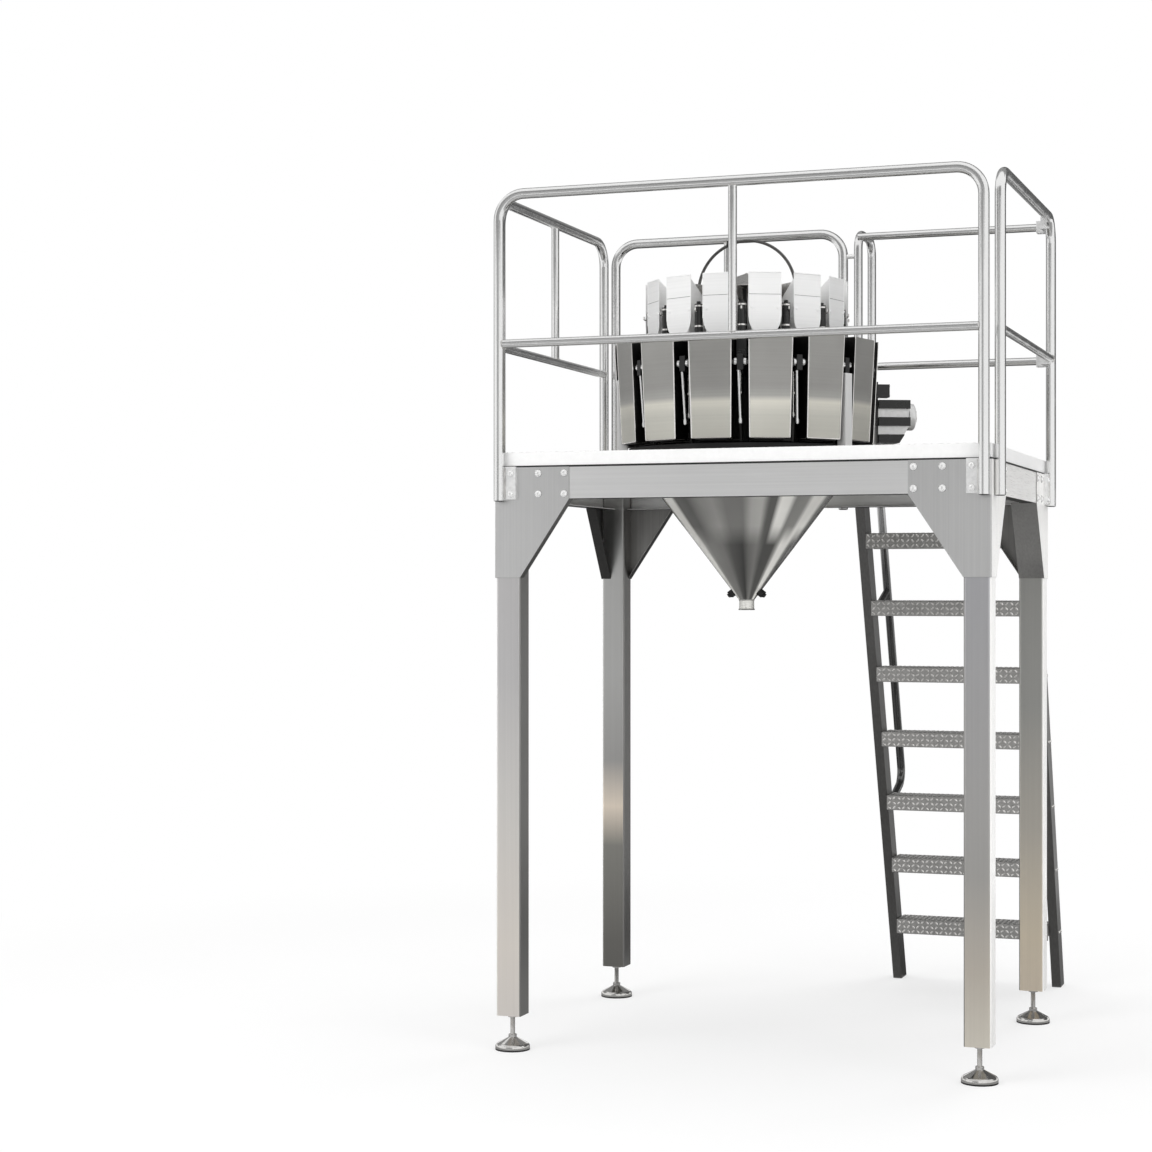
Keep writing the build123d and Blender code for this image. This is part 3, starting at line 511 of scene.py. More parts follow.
def hopper_steel(name):
    """Level-brushed sheet with a painted reflection: grey above, paler below, and a painted bright band at
    the soft line between.
    """
    material, tree, shader = blank(name)
    # Painted reflection by height: pale low down, a bright band at the soft line, grey above
    painted_tones = ramp(tree, height_share(tree, panel_low.z, panel_high.z), [
        (0.00, (0.62, 0.61, 0.55)), (0.22, (0.62, 0.61, 0.55)), (0.345, (0.76, 0.74, 0.66)),
        (0.40, (0.42, 0.415, 0.395)), (0.50, (0.34, 0.335, 0.32)), (1.00, (0.345, 0.34, 0.325))])
    streaks = ramp(tree, noise(tree, BRUSH["level"]), [(0.25, 0.93), (0.75, 1.0)])
    patches = ramp(tree, noise(tree, (5, 5, 5), 3.0), [(0.3, 0.93), (0.7, 1.0)])
    colour = mixed(tree, mixed(tree, painted_tones, streaks), patches)
    coat(tree, shader, colour, brushed(tree, "level"), (0.28, 0.40), 0.4, 0.12)
    return material


def chute_steel(name):
    """Polished sheet with painted reflections: bright and dark bands fan round the axis, another set near
    the deck, and bright bands at the spout.
    """
    material, tree, shader = blank(name)
    centre = node(tree, "Mapping", {"Vector": own_place(tree)}, Location=-axis)
    fan = node(tree, "TexGradient", {"Vector": centre.outputs["Vector"]})
    fan.gradient_type = "RADIAL"

    def bands(stops):
        return ramp(tree, fan.outputs["Fac"], stops)

    # Painted reflections: each stop is a place round the axis and a tone
    below = bands([
        (0.000, 0.35), (0.050, 0.30), (0.068, 0.12), (0.088, 1.00), (0.124, 1.00), (0.138, 0.38),
        (0.155, 0.26), (0.210, 0.22), (0.240, 0.10), (0.280, 0.05), (0.300, 0.16), (0.325, 0.24),
        (0.350, 0.10), (0.385, 0.10), (0.398, 0.40), (0.410, 1.00), (0.440, 1.00), (0.454, 0.28),
        (0.475, 0.08), (0.530, 0.12), (0.556, 0.45), (0.640, 0.85), (0.680, 0.25), (0.800, 0.20),
        (0.880, 0.80), (0.920, 0.25), (1.000, 0.35)])
    above = bands([
        (0.000, 0.40), (0.050, 0.35), (0.068, 0.15), (0.086, 1.00), (0.120, 1.00), (0.132, 0.18),
        (0.165, 0.14), (0.200, 0.32), (0.225, 0.38), (0.250, 0.22), (0.285, 0.20), (0.304, 0.44),
        (0.325, 0.50), (0.338, 0.14), (0.352, 0.14), (0.362, 1.00), (0.382, 1.00), (0.394, 0.30),
        (0.424, 0.36), (0.438, 1.00), (0.468, 1.00), (0.485, 0.25), (0.515, 0.12), (0.540, 0.40),
        (0.660, 0.30), (0.720, 0.80), (0.780, 0.30), (1.000, 0.40)])
    spout = bands([(0.10, 0.55), (0.22, 1.00), (0.36, 0.95), (0.48, 0.40), (0.75, 0.90)])
    low, high = (chute_low.z + share * (chute_high.z - chute_low.z) for share in CHUTE_BLEND)
    painted_tones = mixed(tree, below, above, height_share(tree, low, high))
    painted_tones = mixed(tree, painted_tones, spout, height_share(tree, neck_z + SPOUT_EDGE, neck_z))
    patches = ramp(tree, noise(tree, (7, 7, 4), 3.0),
                   [(0.3, (0.84, 0.83, 0.79)), (0.7, (1.0, 0.99, 0.94))])
    coat(tree, shader, mixed(tree, painted_tones, patches), brushed(tree, "level"), (0.18, 0.26), 0.2)
    return material


def leg_painted_reflection(name, stops):
    """Upright-brushed steel with a painted reflection whose tone changes down the leg; the stops are levels
    and colours.
    """
    material, tree, shader = blank(name)
    shares = [(z / beam_low.z, colour) for z, colour in stops]
    painted_tones = ramp(tree, height_share(tree, 0.0, beam_low.z), shares)
    streaks = ramp(tree, noise(tree, BRUSH["z"]), [(0.25, 0.95), (0.75, 1.0)])
    coat(tree, shader, mixed(tree, painted_tones, streaks), brushed(tree, "z"), (0.31, 0.43), 1.0, 0.10)
    return material


def handrail_painted_shade(name):
    """Tube that keeps its bright tone above the deck and has painted shade further down."""
    material, tree, shader = blank(name)
    share = height_share(tree, deck_top + RAIL_SHADE_FULL, deck_top + RAIL_SHADE_END)
    painted_tones = ramp(tree, share, [(0.0, 0.14), (1.0, 0.84)])
    patches = ramp(tree, noise(tree, PATCH, 3.0), [(0.3, 0.88), (0.7, 1.0)])
    coat(tree, shader, mixed(tree, painted_tones, patches), noise(tree, (9, 9, 9)), (0.17, 0.24), 1.0)
    return material


def moulded(name, tone, rough, grain=220.0):
    """Dark surface with a fine grain, for paint, rubber and painted shade."""
    material, tree, shader = blank(name)
    grit = noise(tree, (grain, grain, grain))
    patch = noise(tree, (9, 9, 9), 3.0)
    grains = ramp(tree, grit, [(0.3, tone * 0.75), (0.7, tone * 1.25)])
    patches = ramp(tree, patch, [(0.3, 0.8), (0.7, 1.0)])
    sheen = (rough - 0.06, rough + 0.06)
    coat(tree, shader, mixed(tree, grains, patches), patch, sheen, 0.0)
    relief(tree, shader, grit, 0.15, GRIT_DEPTH)
    return material


# Painted reflections on the front of each leg, by height: bright and dark bands; the rear left leg is dark
# towards the foot with a painted bright band at 0.83 m
leg_front_left = leg_painted_reflection("leg_front_left", [
    (0.10, (0.95, 0.90, 0.85)), (0.40, (1.00, 0.94, 0.87)),
    (0.95, (0.84, 0.82, 0.79)), (1.45, (0.70, 0.69, 0.69))])
leg_front_right = leg_painted_reflection("leg_front_right", [
    (0.05, (0.95, 0.90, 0.79)), (0.40, (0.71, 0.655, 0.575)),
    (0.75, (0.53, 0.52, 0.50)), (1.80, (0.58, 0.58, 0.60))])
leg_rear_left = leg_painted_reflection("leg_rear_left", [
    (0.25, (0.24, 0.235, 0.22)), (0.66, (0.33, 0.325, 0.30)), (0.83, (0.98, 0.87, 0.74)),
    (1.03, (0.455, 0.45, 0.44)), (1.40, (0.55, 0.55, 0.54))])
leg_rear_right = leg_painted_reflection("leg_rear_right", [
    (0.10, (1.00, 0.88, 0.72)), (0.35, (0.88, 0.78, 0.62)),
    (0.80, (0.60, 0.57, 0.51)), (1.30, (0.45, 0.45, 0.43))])
# Painted light on the outer sides of legs and knees, as a pale, nearly matt copy of the steel, and painted
# shade on their inner sides
leg_side = steel("leg_side", 0.97, 0.30, "z", tint=PALE, metal=0.05)
leg_shade = steel("leg_shade", 0.32, 0.36, "z")
beam_steel_x = steel("beam_steel_x", 0.96, 0.36, "x", tint=NEUTRAL)
# Painted light on the side beams, as a pale, nearly matt copy of the beam steel
beam_side_painted_light = steel("beam_side_painted_light", 0.92, 0.30, "y", tint=PALE, metal=0.15)
knee_steel = steel("knee_steel", 0.74, 0.36, "z", tint=NEUTRAL)
# Painted shade inside the rear knees and under the beams, in a dark and a lighter dark copy of the steel
inner_painted_shade = steel("inner_painted_shade", 0.09, 0.45, "z", streak=0.10, cloud=0.45)
inner_front_painted_shade = steel("inner_front_painted_shade", 0.40, 0.45, "z", streak=0.10, cloud=0.45)
edge_steel = steel("edge_steel", 0.94, 0.42, "all", streak=0.02, cloud=0.04, tint=NEUTRAL, metal=0.1)
tube_steel = steel("tube_steel", 0.84, 0.20, "soft", streak=0.01, cloud=0.04, tint=NEUTRAL, bump=0.0)
rail_steel = steel("rail_steel", 0.16, 0.24, "all", streak=0.05, cloud=0.15, bump=0.0)
handrail_steel = handrail_painted_shade("handrail_steel")
# Painted reflection on the stair: a dark tone for the dark surroundings it mirrors
stair_steel = steel("stair_steel", 0.165, 0.40, "z", streak=0.10, cloud=0.15)
plate_steel = steel("plate_steel", 0.50, 0.42, "all", streak=0.12, cloud=0.15)
# Painted shade on the joists under the deck
joist_painted_shade = steel("joist_painted_shade", 0.10, 0.45, "y", streak=0.10)
lozenge_steel = steel("lozenge_steel", 0.96, 0.26, "all", streak=0.10)
fitting_steel = steel("fitting_steel", 0.84, 0.20, "all", streak=0.06)
bracket_steel = steel("bracket_steel", 0.88, 0.34, "all", streak=0.10, cloud=0.22, tint=NEUTRAL, metal=0.35)
bolt_steel = steel("bolt_steel", 0.95, 0.22, "all", streak=0.04, cloud=0.08, tint=NEUTRAL, metal=0.45)
hook_steel = steel("hook_steel", 0.86, 0.18, "all", streak=0.06, cloud=0.12, tint=NEUTRAL, metal=0.8)
foot_steel = steel("foot_steel", 0.72, 0.12, "all", streak=0.08, cloud=0.15)
feed_steel = steel("feed_steel", 0.96, 0.34, "level", streak=0.03, cloud=0.05, tint=NEUTRAL, metal=0.25)
column_steel = steel("column_steel", 0.86, 0.34, "z", streak=0.03, cloud=0.05, tint=NEUTRAL, metal=0.25)
cover_steel = steel("cover_steel", 0.78, 0.34, "all", streak=0.08, cloud=0.15, tint=NEUTRAL, metal=0.4)
# Painted shade on the sides of the weigh hoppers and the feed hopper gates, which face the gaps between the
# heads
hopper_side_painted_shade = steel("hopper_side_painted_shade", 0.05, 0.40, "level", streak=0.12, cloud=0.2)
pan_steel = steel("pan_steel", 0.72, 0.28, "all", streak=0.06)
weld_steel = steel("weld_steel", 0.78, 0.34, "all", streak=0.22, cloud=0.25, bump=0.5)
weigh_steel = hopper_steel("weigh_steel")
chute_painted_bands = chute_steel("chute_painted_bands")
# Near black: the own colour of the post caps, and painted shade on the weigher's drum, hanger arms and
# vibrators, which sit in the dark behind and between the hoppers
dark_paint_and_shade = moulded("dark_paint_and_shade", 0.010, 0.42)
# Near black: the own colour of the gate cylinders and the power unit, and painted shade on the gate drives
# in the gaps between the hoppers
drive_paint_and_shade = moulded("drive_paint_and_shade", 0.012, 0.28, 150.0)
# Rubber; on the bead along the deck joint it is painted shade
rubber = moulded("rubber", 0.012, 0.66, 300.0)
# Dark seams on the feed hoppers, and painted shadow rings round the knee bolts
seam_and_shadow_dark = moulded("seam_and_shadow_dark", 0.10, 0.5)

# Finish by the start of a name, where a full name comes before a shorter one
FINISH = {
    "leg_front_left": leg_front_left, "leg_front_right": leg_front_right,
    "leg_rear_left": leg_rear_left, "leg_rear_right": leg_rear_right, "knees": knee_steel,
    "levelling_feet": foot_steel, "foot_rubbers": rubber, "beam_front": beam_steel_x,
    "beam_rear": beam_steel_x, "beam": beam_side_painted_light, "deck_joists": joist_painted_shade,
    "deck_panels": plate_steel, "deck_edges": edge_steel, "guard_brackets": bracket_steel,
    "guard": tube_steel, "stair_head_bars": tube_steel, "stair_stringer": stair_steel,
    "stair_treads": plate_steel, "stair_handrail": handrail_steel,
    "weigher_columns": column_steel, "weigher_drum": dark_paint_and_shade, "hanger_arms": dark_paint_and_shade,
    "gate_drives": drive_paint_and_shade, "gate_actuators": drive_paint_and_shade, "hopper_links": fitting_steel,
    "weigh_hopper_ends": weigh_steel, "weigh_hopper": hopper_side_painted_shade,
    "feed_hopper_gates": hopper_side_painted_shade, "feed_hopper": feed_steel, "vibrators": dark_paint_and_shade,
    "feeder_pans": pan_steel, "top_cone": pan_steel, "arch": rail_steel,
    "level_sensor": drive_paint_and_shade, "discharge_chute": chute_painted_bands, "chute_collar": rubber,
    "power_unit": drive_paint_and_shade,
}

# Width of the rounded edges, by the start of a name
BEVEL = {"beam": 0.004, "knees": 0.0012, "deck_edges": 0.0022, "stair_stringer": 0.003,
         "stair_treads": 0.003, "weigher_columns": 0.003, "hanger_arms": 0.003,
         "weigh_hopper_ends": 0.0012}
BEVEL_ANGLE = 40
JOIN_REACH = 0.00002


def by_start(table, name):
    """First value in a table whose key starts a name, if there is one."""
    return next((table[start] for start in table if name.startswith(start)), None)


def soften(thing, width):
    """Rounded edges over the joined corners of a solid."""
    weld = thing.modifiers.new("weld", "WELD")
    weld.merge_threshold = JOIN_REACH
    bevel = thing.modifiers.new("bevel", "BEVEL")
    bevel.width = width
    bevel.segments = 2
    bevel.limit_method = "ANGLE"
    bevel.angle_limit = radians(BEVEL_ANGLE)
    bevel.harden_normals = True


def outward(name, normal):
    """How far a face of a corner piece looks out to the side, and out to the front or rear."""
    side = -1 if name.endswith("left") else 1
    end = -1 if "front" in name else 1
    return normal.x * side, normal.y * end


def dress_leg(name, mesh):
    """Painted light on the outer sides of a leg and on the rear of a rear leg, painted shade on its inner
    sides and on the rear of a front leg; the front keeps the leg's painted reflection.
    """
    mesh.materials.append(leg_side)
    mesh.materials.append(leg_shade)
    for face in mesh.polygons:
        sideways, endways = outward(name, face.normal)
        to_rear = face.normal.y > 0.5
        if sideways > 0.5 or (to_rear and endways > 0.5):
            face.material_index = 1
        elif sideways < -0.5 or to_rear:
            face.material_index = 2


def dress_knee(name, mesh):
    """Painted light on the outer sides of a knee, and painted shade inside it."""
    inside = (leg_shade, leg_shade) if "front" in name else (inner_painted_shade, inner_front_painted_shade)
    for finish in (leg_side, *inside):
        mesh.materials.append(finish)
    for face in mesh.polygons:
        sideways, endways = outward(name, face.normal)
        if sideways > 0.7 or (face.normal.y > 0.95 and endways > 0.7):
            face.material_index = 1
        elif endways < 0.7:
            lit = abs(face.normal.z) < 0.2 or name.endswith("right")
            face.material_index = 3 if lit and sideways > -0.7 else 2


def dress_beam(mesh):
    """Painted shade under a beam."""
    mesh.materials.append(inner_painted_shade)
    for face in mesh.polygons:
        if face.normal.z < -0.7:
            face.material_index = 1


def dress_unit():
    """Light core and end cover between the dark fins of the power unit."""
    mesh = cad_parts["power_unit"].data
    mesh.materials.append(cover_steel)
    back = head_place(UNIT_GAP).inverted()
    top = unit_foot + UNIT_HEIGHT
    for face in mesh.polygons:
        spot = back @ face.center
        reach = -spot.y
        sideways = abs((back.to_3x3() @ face.normal).x) > 0.9
        core = sideways and abs(spot.x) < UNIT_CORE_HALF + EDGE_SLACK
        inside = UNIT_FACE_REACH - UNIT_CORE_LENGTH < reach < UNIT_FACE_REACH and spot.z < top
        if reach > UNIT_FACE_REACH + EDGE_SLACK or (core and inside):
            face.material_index = 1


def dress_frame():
    """Finish on every solid of the frame, with softened edges."""
    for name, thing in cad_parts.items():
        thing.data.materials.clear()
        thing.data.materials.append(by_start(FINISH, name))
        width = by_start(BEVEL, name)
        if width:
            soften(thing, width)
        if name.startswith("leg"):
            dress_leg(name, thing.data)
        if name.startswith("knees"):
            dress_knee(name, thing.data)
        if name.startswith("beam"):
            dress_beam(thing.data)
    dress_unit()


# Fasteners

# Radius and height up a bolt head and its socket
BOLT = [(0.0125, 0.0), (0.0125, 0.0018), (0.0095, 0.0018), (0.0095, 0.0040), (0.0082, 0.0062),
        (0.0052, 0.0076), (0.0034, 0.0076), (0.0034, 0.0052), (0.0, 0.0052)]


def bolt(bm, place, size=1.0, sides=18):
    """Button head with a socket on a washer, standing on the z axis of a matrix."""
    lathe(bm, place, [(r * size, h * size) for r, h in BOLT], sides)


def on_face(face, x, out, z):
    """Matrix on a face of the platform that points outward."""
    return face @ at(x, -out, z) @ Matrix.Rotation(pi / 2, 4, "X")


def knee_bolts():
    """Two columns of two bolts through each knee plate, each with a dark ring of painted shadow round it.
    """
    bolts, shadow_rings = bmesh.new(), bmesh.new()
    faces = ((FRONT, half_width), (REAR, half_width), (LEFT, half_depth), (RIGHT, half_depth))
    for (face, half), side, u, z in product(faces, (-1, 1), BOLT_COLUMNS, bolt_rows):
        place = on_face(face, side * (half - u), KNEE_PLATE, z)
        bolt(bolts, place, BOLT_SCALE)
        ring(shadow_rings, place, BOLT[0][0] * BOLT_SCALE, BOLT_SHADOW_RADIUS)
    piece("knee_bolts", bolts, bolt_steel)
    piece("knee_bolt_shadows", shadow_rings, seam_and_shadow_dark)


def guard_feet():
    """Place of each guard post along its face, with the side its bracket is on and what it lies on."""
    feet = [(FRONT, s * post_x, -s, KNEE_PLATE) for s in (-1, 1)]
    for face, shift in ((LEFT, LEFT_GUARD_SHIFT), (RIGHT, 0.0)):
        feet += [(face, s * side_x - shift, -s, KNEE_PLATE) for s in (-1, 1)]
    return feet + [(REAR, post_x, -1, KNEE_PLATE), (REAR, -rear_end, 1, 0.0)]


def bracket_bolts():
    """Bolts at the ends of each bracket with a rippled weld between them."""
    bolts, welds = bmesh.new(), bmesh.new()
    low, high = beam_low.z + WELD_END, beam_high.z - WELD_END
    steps = range(WELD_STEPS + 1)
    levels = [low + (high - low) * k / WELD_STEPS for k in steps]
    widths = [WELD_RADIUS + WELD_RIPPLE * (k % 2) for k in steps]
    for face, x, side, lift in guard_feet():
        out = lift + BRACKET_PLATE
        for z in bolt_rows:
            bolt(bolts, on_face(face, x + side * BRACKET_BOLT, out, z), BOLT_SCALE)
        edge = x + side * (POST_RADIUS + WELD_GAP)
        tube(welds, [face @ Vector((edge, -out, z)) for z in levels], widths)
    piece("bracket_bolts", bolts, bolt_steel)
    piece("bracket_welds", welds, weld_steel)


# Guards

def guard_welds():
    """Beads where rails and short posts meet the loops, and rounded caps under the posts."""
    beads, caps = bmesh.new(), bmesh.new()
    out = KNEE_PLATE + POST_RADIUS
    left_ends = (-side_x - LEFT_GUARD_SHIFT, side_x - LEFT_GUARD_SHIFT)
    loops = [(FRONT, -post_x, post_x, True), (LEFT, *left_ends, True),
             (RIGHT, -side_x, side_x, False), (REAR, -rear_end, post_x, True)]
    flat, cap = POST_RADIUS * CAP_FLAT_SHARE, POST_RADIUS * CAP_SHARE
    profile = [(0, -CAP_DEPTH), (flat, -CAP_DEPTH), (cap, -CAP_ROUND), (cap, 0)]
    ends = (mid_z + RAIL_RADIUS * POST_BEAD_SHARE, rail_z - POST_RADIUS * POST_BEAD_SHARE)
    for face, x0, x1, middle in loops:
        for x, s in ((x0, 1), (x1, -1)):
            place = face @ at(x + s * POST_RADIUS * SIDE_BEAD_SHARE, -out, mid_z)
            ring(beads, place @ Matrix.Rotation(pi / 2, 4, "Y"), RAIL_RADIUS, BEAD_RADIUS)
            lathe(caps, face @ at(x, -out, post_foot), profile, 24)
        if middle:
            for z in ends:
                place = face @ at((x0 + x1) / 2, -out, z)
                ring(beads, place, RAIL_RADIUS, BEAD_RADIUS)
    piece("guard_welds", beads, weld_steel)
    piece("post_caps", caps, dark_paint_and_shade)


# Checker plate

def lozenge(bm, place, size=1.0):
    """Raised diamond on the xy plane of a matrix."""
    half, wide = LOZENGE_LENGTH * size / 2, LOZENGE_WIDTH * size / 2
    waist = half * LOZENGE_WAIST
    base = [(-half, 0), (-waist, -wide), (waist, -wide), (half, 0), (waist, wide), (-waist, wide)]
    long, across = LOZENGE_TOP
    low = [bm.verts.new(place @ Vector((x, y, 0))) for x, y in base]
    high = [bm.verts.new(place @ Vector((x * long, y * across, LOZENGE_RISE))) for x, y in base]
    bm.faces.new(high)
    skin(bm, low, high)


def lozenge_field(bm, place, width, height, pitch, size, keep=None):
    """Diamonds in turned pairs over a rectangle on the xy plane of a matrix, from its middle."""
    columns, rows = int(width / pitch), int(height / pitch)
    for i, j in product(range(columns), range(rows)):
        x = (i - (columns - 1) / 2) * pitch
        y = (j - (rows - 1) / 2) * pitch
        if not keep or keep(x, y):
            turn = radians(45 if (i + j) % 2 else -45)
            spot = place @ at(x, y, 0) @ Matrix.Rotation(turn, 4, "Z")
            lozenge(bm, spot, size)


def deck_seam():
    """Dark bead of painted shade along the joint between the deck's edge strips and the beams."""
    bm = bmesh.new()
    x0, x1 = left_x - SEAM_OUT, right_x + SEAM_OUT
    y0, y1 = front_y - SEAM_OUT, rear_y + SEAM_OUT
    corners = [(x0, y0), (x1, y0), (x1, y1), (x0, y1)]
    for a, b in zip(corners, corners[1:] + corners[:1]):
        tube(bm, [(*a, beam_high.z), (*b, beam_high.z)], SEAM_RADIUS, 6)
    piece("deck_seam", bm, rubber)


def deck_pattern():
    """Diamonds over the deck, clear of the chute and the column feet."""
    bm = bmesh.new()
    low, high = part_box("deck_panels")
    centre = (low + high) / 2
    reach = flange_radius + PLATE_PITCH * CHUTE_CLEAR
    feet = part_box("weigher_columns")
    foot_reach = (feet[1].x - feet[0].x) / 2 + PLATE_PITCH

    def keep(x, y):
        spot = Vector((centre.x + x - axis.x, centre.y + y - axis.y))
        between = spot.length > reach and abs(spot.x) < reach * BETWEEN_FEET
        return spot.length > foot_reach or between

    place = at(centre.x, centre.y, high.z)
    lozenge_field(bm, place, high.x - low.x, high.y - low.y, PLATE_PITCH, 1.0, keep)
    piece("deck_pattern", bm, lozenge_steel)


def tread_boxes():
    """Low and high corner of each step, from the frame's solids."""
    points = [v.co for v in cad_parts["stair_treads"].data.vertices]
    levels = sorted({round(p.z, 3) for p in points})
    boxes = []
    for top in levels:
        foot = top - STEP_LIP
        if any(abs(foot - z) < 2 * STEP_SLACK for z in levels):
            step = [p for p in points if foot - STEP_SLACK <= p.z <= top + STEP_SLACK]
            corners = [Vector([pick(p[i] for p in step) for i in range(3)]) for pick in (min, max)]
            boxes.append(corners)
    return boxes


def tread_pattern():
    """Smaller diamonds over the top and both lips of each step."""
    bm = bmesh.new()
    for low, high in tread_boxes():
        centre = (low + high) / 2
        size = high - low
        scale = STEP_PITCH / PLATE_PITCH
        top = at(centre.x, centre.y, high.z)
        lozenge_field(bm, top, size.x, size.y, STEP_PITCH, scale)
        for y, turn in ((low.y, pi / 2), (high.y, -pi / 2)):
            lip = at(centre.x, y, centre.z) @ Matrix.Rotation(turn, 4, "X")
            lozenge_field(bm, lip, size.x, size.z, STEP_PITCH, scale)
    piece("tread_pattern", bm, lozenge_steel)


# Weigher

def panel_hems():
    """Bright folded edges down the sides and along the foot of each weigh hopper's front."""
    bm = bmesh.new()
    for k in range(HEADS):
        feet = []
        for s in (-1, 1):
            top = on_head(k, s * PANEL_TOP_HALF, PANEL_TOP_REACH, panel_high.z)
            feet.append(on_head(k, s * PANEL_LOW_HALF, PANEL_LOW_REACH, panel_low.z))
            tube(bm, [top, feet[-1]], HEM_RADIUS, 6)
        tube(bm, feet, HEM_RADIUS, 6)
    piece("panel_hems", bm, fitting_steel)


# Radius and height along a collar, half a cross pin, and an eye
COLLAR = [(0.009, 0.0), (0.0135, 0.0), (0.015, 0.0015), (0.015, 0.006), (0.0135, 0.0075),
          (0.009, 0.0075)]
ARM_PIN = [(0.0115, 0.0125), (0.0140, 0.0140), (0.0140, 0.0225), (0.0115, 0.0250), (0.0, 0.0250)]
ROD_EYE = [(0.0, -0.012), (0.007, -0.010), (0.008, 0.0), (0.007, 0.010), (0.0, 0.012)]


def hanger_collars():
    """Collars on the hanger pins, against the hopper and against the arm."""
    bm = bmesh.new()
    wall = PIN_REACH * tan(radians(PITCH / 2))
    for k, s, share in product(range(HEADS), (-1, 1), COLLAR_SHARES):
        spot = on_head(k, s * wall * share, PIN_REACH, pin_z)
        along = head_place(k).to_3x3() @ Vector((s, 0, 0))
        lathe(bm, facing(spot, along), COLLAR, 18)
    piece("hanger_collars", bm, fitting_steel)


def arm_pins():
    """Cross pin through the end of each hanger arm, with a collar on each side."""
    bm = bmesh.new()
    profile = [(r, -h) for r, h in reversed(ARM_PIN)] + ARM_PIN
    for k in range(HEADS):
        spot = on_head(k + 0.5, 0, ARM_REACH - ARM_PIN_INSET, pin_z)
        across = head_place(k + 0.5).to_3x3() @ Vector((1, 0, 0))
        lathe(bm, facing(spot, across), profile, 20)
    piece("arm_pins", bm, hook_steel)


def arm_rods():
    """Bright rod with an eye at its foot, hung from the end of each hanger arm."""
    bm = bmesh.new()
    reach = ARM_REACH - ARM_PIN_INSET
    for k in range(HEADS):
        top = on_head(k + 0.5, -ARM_ROD_SIDE, reach, arm_low.z + ARM_ROD_SINK)
        foot = on_head(k + 0.5, 0, reach - ARM_ROD_LEAN, arm_low.z - ARM_ROD_LENGTH)
        tube(bm, [top, foot], ARM_ROD_RADIUS, 12)
        lathe(bm, facing(foot, top - foot), ROD_EYE, 14)
    piece("arm_rods", bm, hook_steel)


# Radius and height of a spring's seat and of the eye at a rod's foot
SPRING_SEAT = [(0.0045, 0.0), (0.011, 0.0), (0.011, -0.006), (0.0045, -0.006)]
GATE_EYE = [(0.0045, 0.016), (0.008, 0.014), (0.008, -0.004), (0.0045, -0.006)]


def rod_springs():
    """Coil spring round the upper end of each gate rod, on a seat, with an eye at the lower end."""
    bm = bmesh.new()
    count = SPRING_TURNS * SPRING_STEPS
    coil = []
    for i in range(count + 1):
        t = 2 * pi * i / SPRING_STEPS
        drop = SPRING_GAP + SPRING_LENGTH * i / count
        coil.append(Vector((SPRING_RADIUS * cos(t), SPRING_RADIUS * sin(t), -drop)))
    for k in range(HEADS):
        place = head_place(k) @ at(ROD_SIDE, -ROD_REACH, arm_low.z)
        tube(bm, [place @ p for p in coil], SPRING_WIRE, 5)
        lathe(bm, place @ at(0, 0, -SPRING_GAP - SPRING_LENGTH), SPRING_SEAT, 14)
        lathe(bm, place @ at(0, 0, -ROD_LENGTH), GATE_EYE, 12)
    piece("rod_springs", bm, fitting_steel)


# Radius and height of a hinge knob
KNOB = [(0.006, 0), (0.006, 0.002), (0, 0.004)]


def feed_trim():
    """Rolled top edge, seam and hinge knobs on each feed hopper's front."""
    rims, seams = bmesh.new(), bmesh.new()
    height = feed_high.z - feed_low.z
    corner_z = feed_low.z + FEED_CORNER
    knob_z = feed_low.z + height * KNOB_RISE_SHARE
    seam_z = feed_high.z - height * SEAM_DROP_SHARE
    for k in range(HEADS):
        forward = head_place(k).to_3x3() @ Vector(TO_FRONT)

        def front(share, z):
            return on_head(k, share * FEED_HALF, FEED_REACH, z)

        tube(rims, [front(s, feed_high.z) for s in (-1, 1)], HEM_RADIUS, 6)
        for s in (-1, 1):
            side = [front(s, feed_high.z), front(s, corner_z)]
            tube(rims, side, HEM_RADIUS * SIDE_HEM_SHARE, 6)
            lathe(rims, facing(front(s * KNOB_SIDE_SHARE, knob_z), forward), KNOB, 12)
        seam = [front(s * SEAM_SIDE_SHARE, seam_z) for s in (-1, 1)]
        tube(seams, seam, FEED_SEAM_RADIUS, 5)
    piece("feed_rims", rims, feed_steel)
    piece("feed_seams", seams, seam_and_shadow_dark)


# A band and an elbow: how far each point stands out from the cylinder, and its height
BAND = [(0.0, 0.0), (0.0018, 0.001), (0.0018, 0.007), (0.0, 0.008)]
ELBOW = [(0.0, 0.100), (0.008, 0.100), (0.012, 0.104), (0.012, 0.114)]


def actuator_trim():
    """Bands and an elbow on each gate cylinder."""
    bm = bmesh.new()
    low = arm_high.z + ACTUATOR_BASE
    for k in range(HEADS):
        place = head_place(k + 0.5) @ at(0, -ACTUATOR_REACH, low)
        for z in BAND_LEVELS:
            lathe(bm, place, [(ACTUATOR_RADIUS + out, z + h) for out, h in BAND], 20)
        elbow = [place @ Vector((0, -ACTUATOR_RADIUS - out, h)) for out, h in ELBOW]
        tube(bm, elbow, ELBOW_RADIUS, 8)
    piece("actuator_bands", bm, fitting_steel)


# Radius and height of a dimple
DIMPLE = [(0.0046, 0.0), (0.0040, 0.0012), (0.0022, 0.0020), (0.0, 0.0022)]


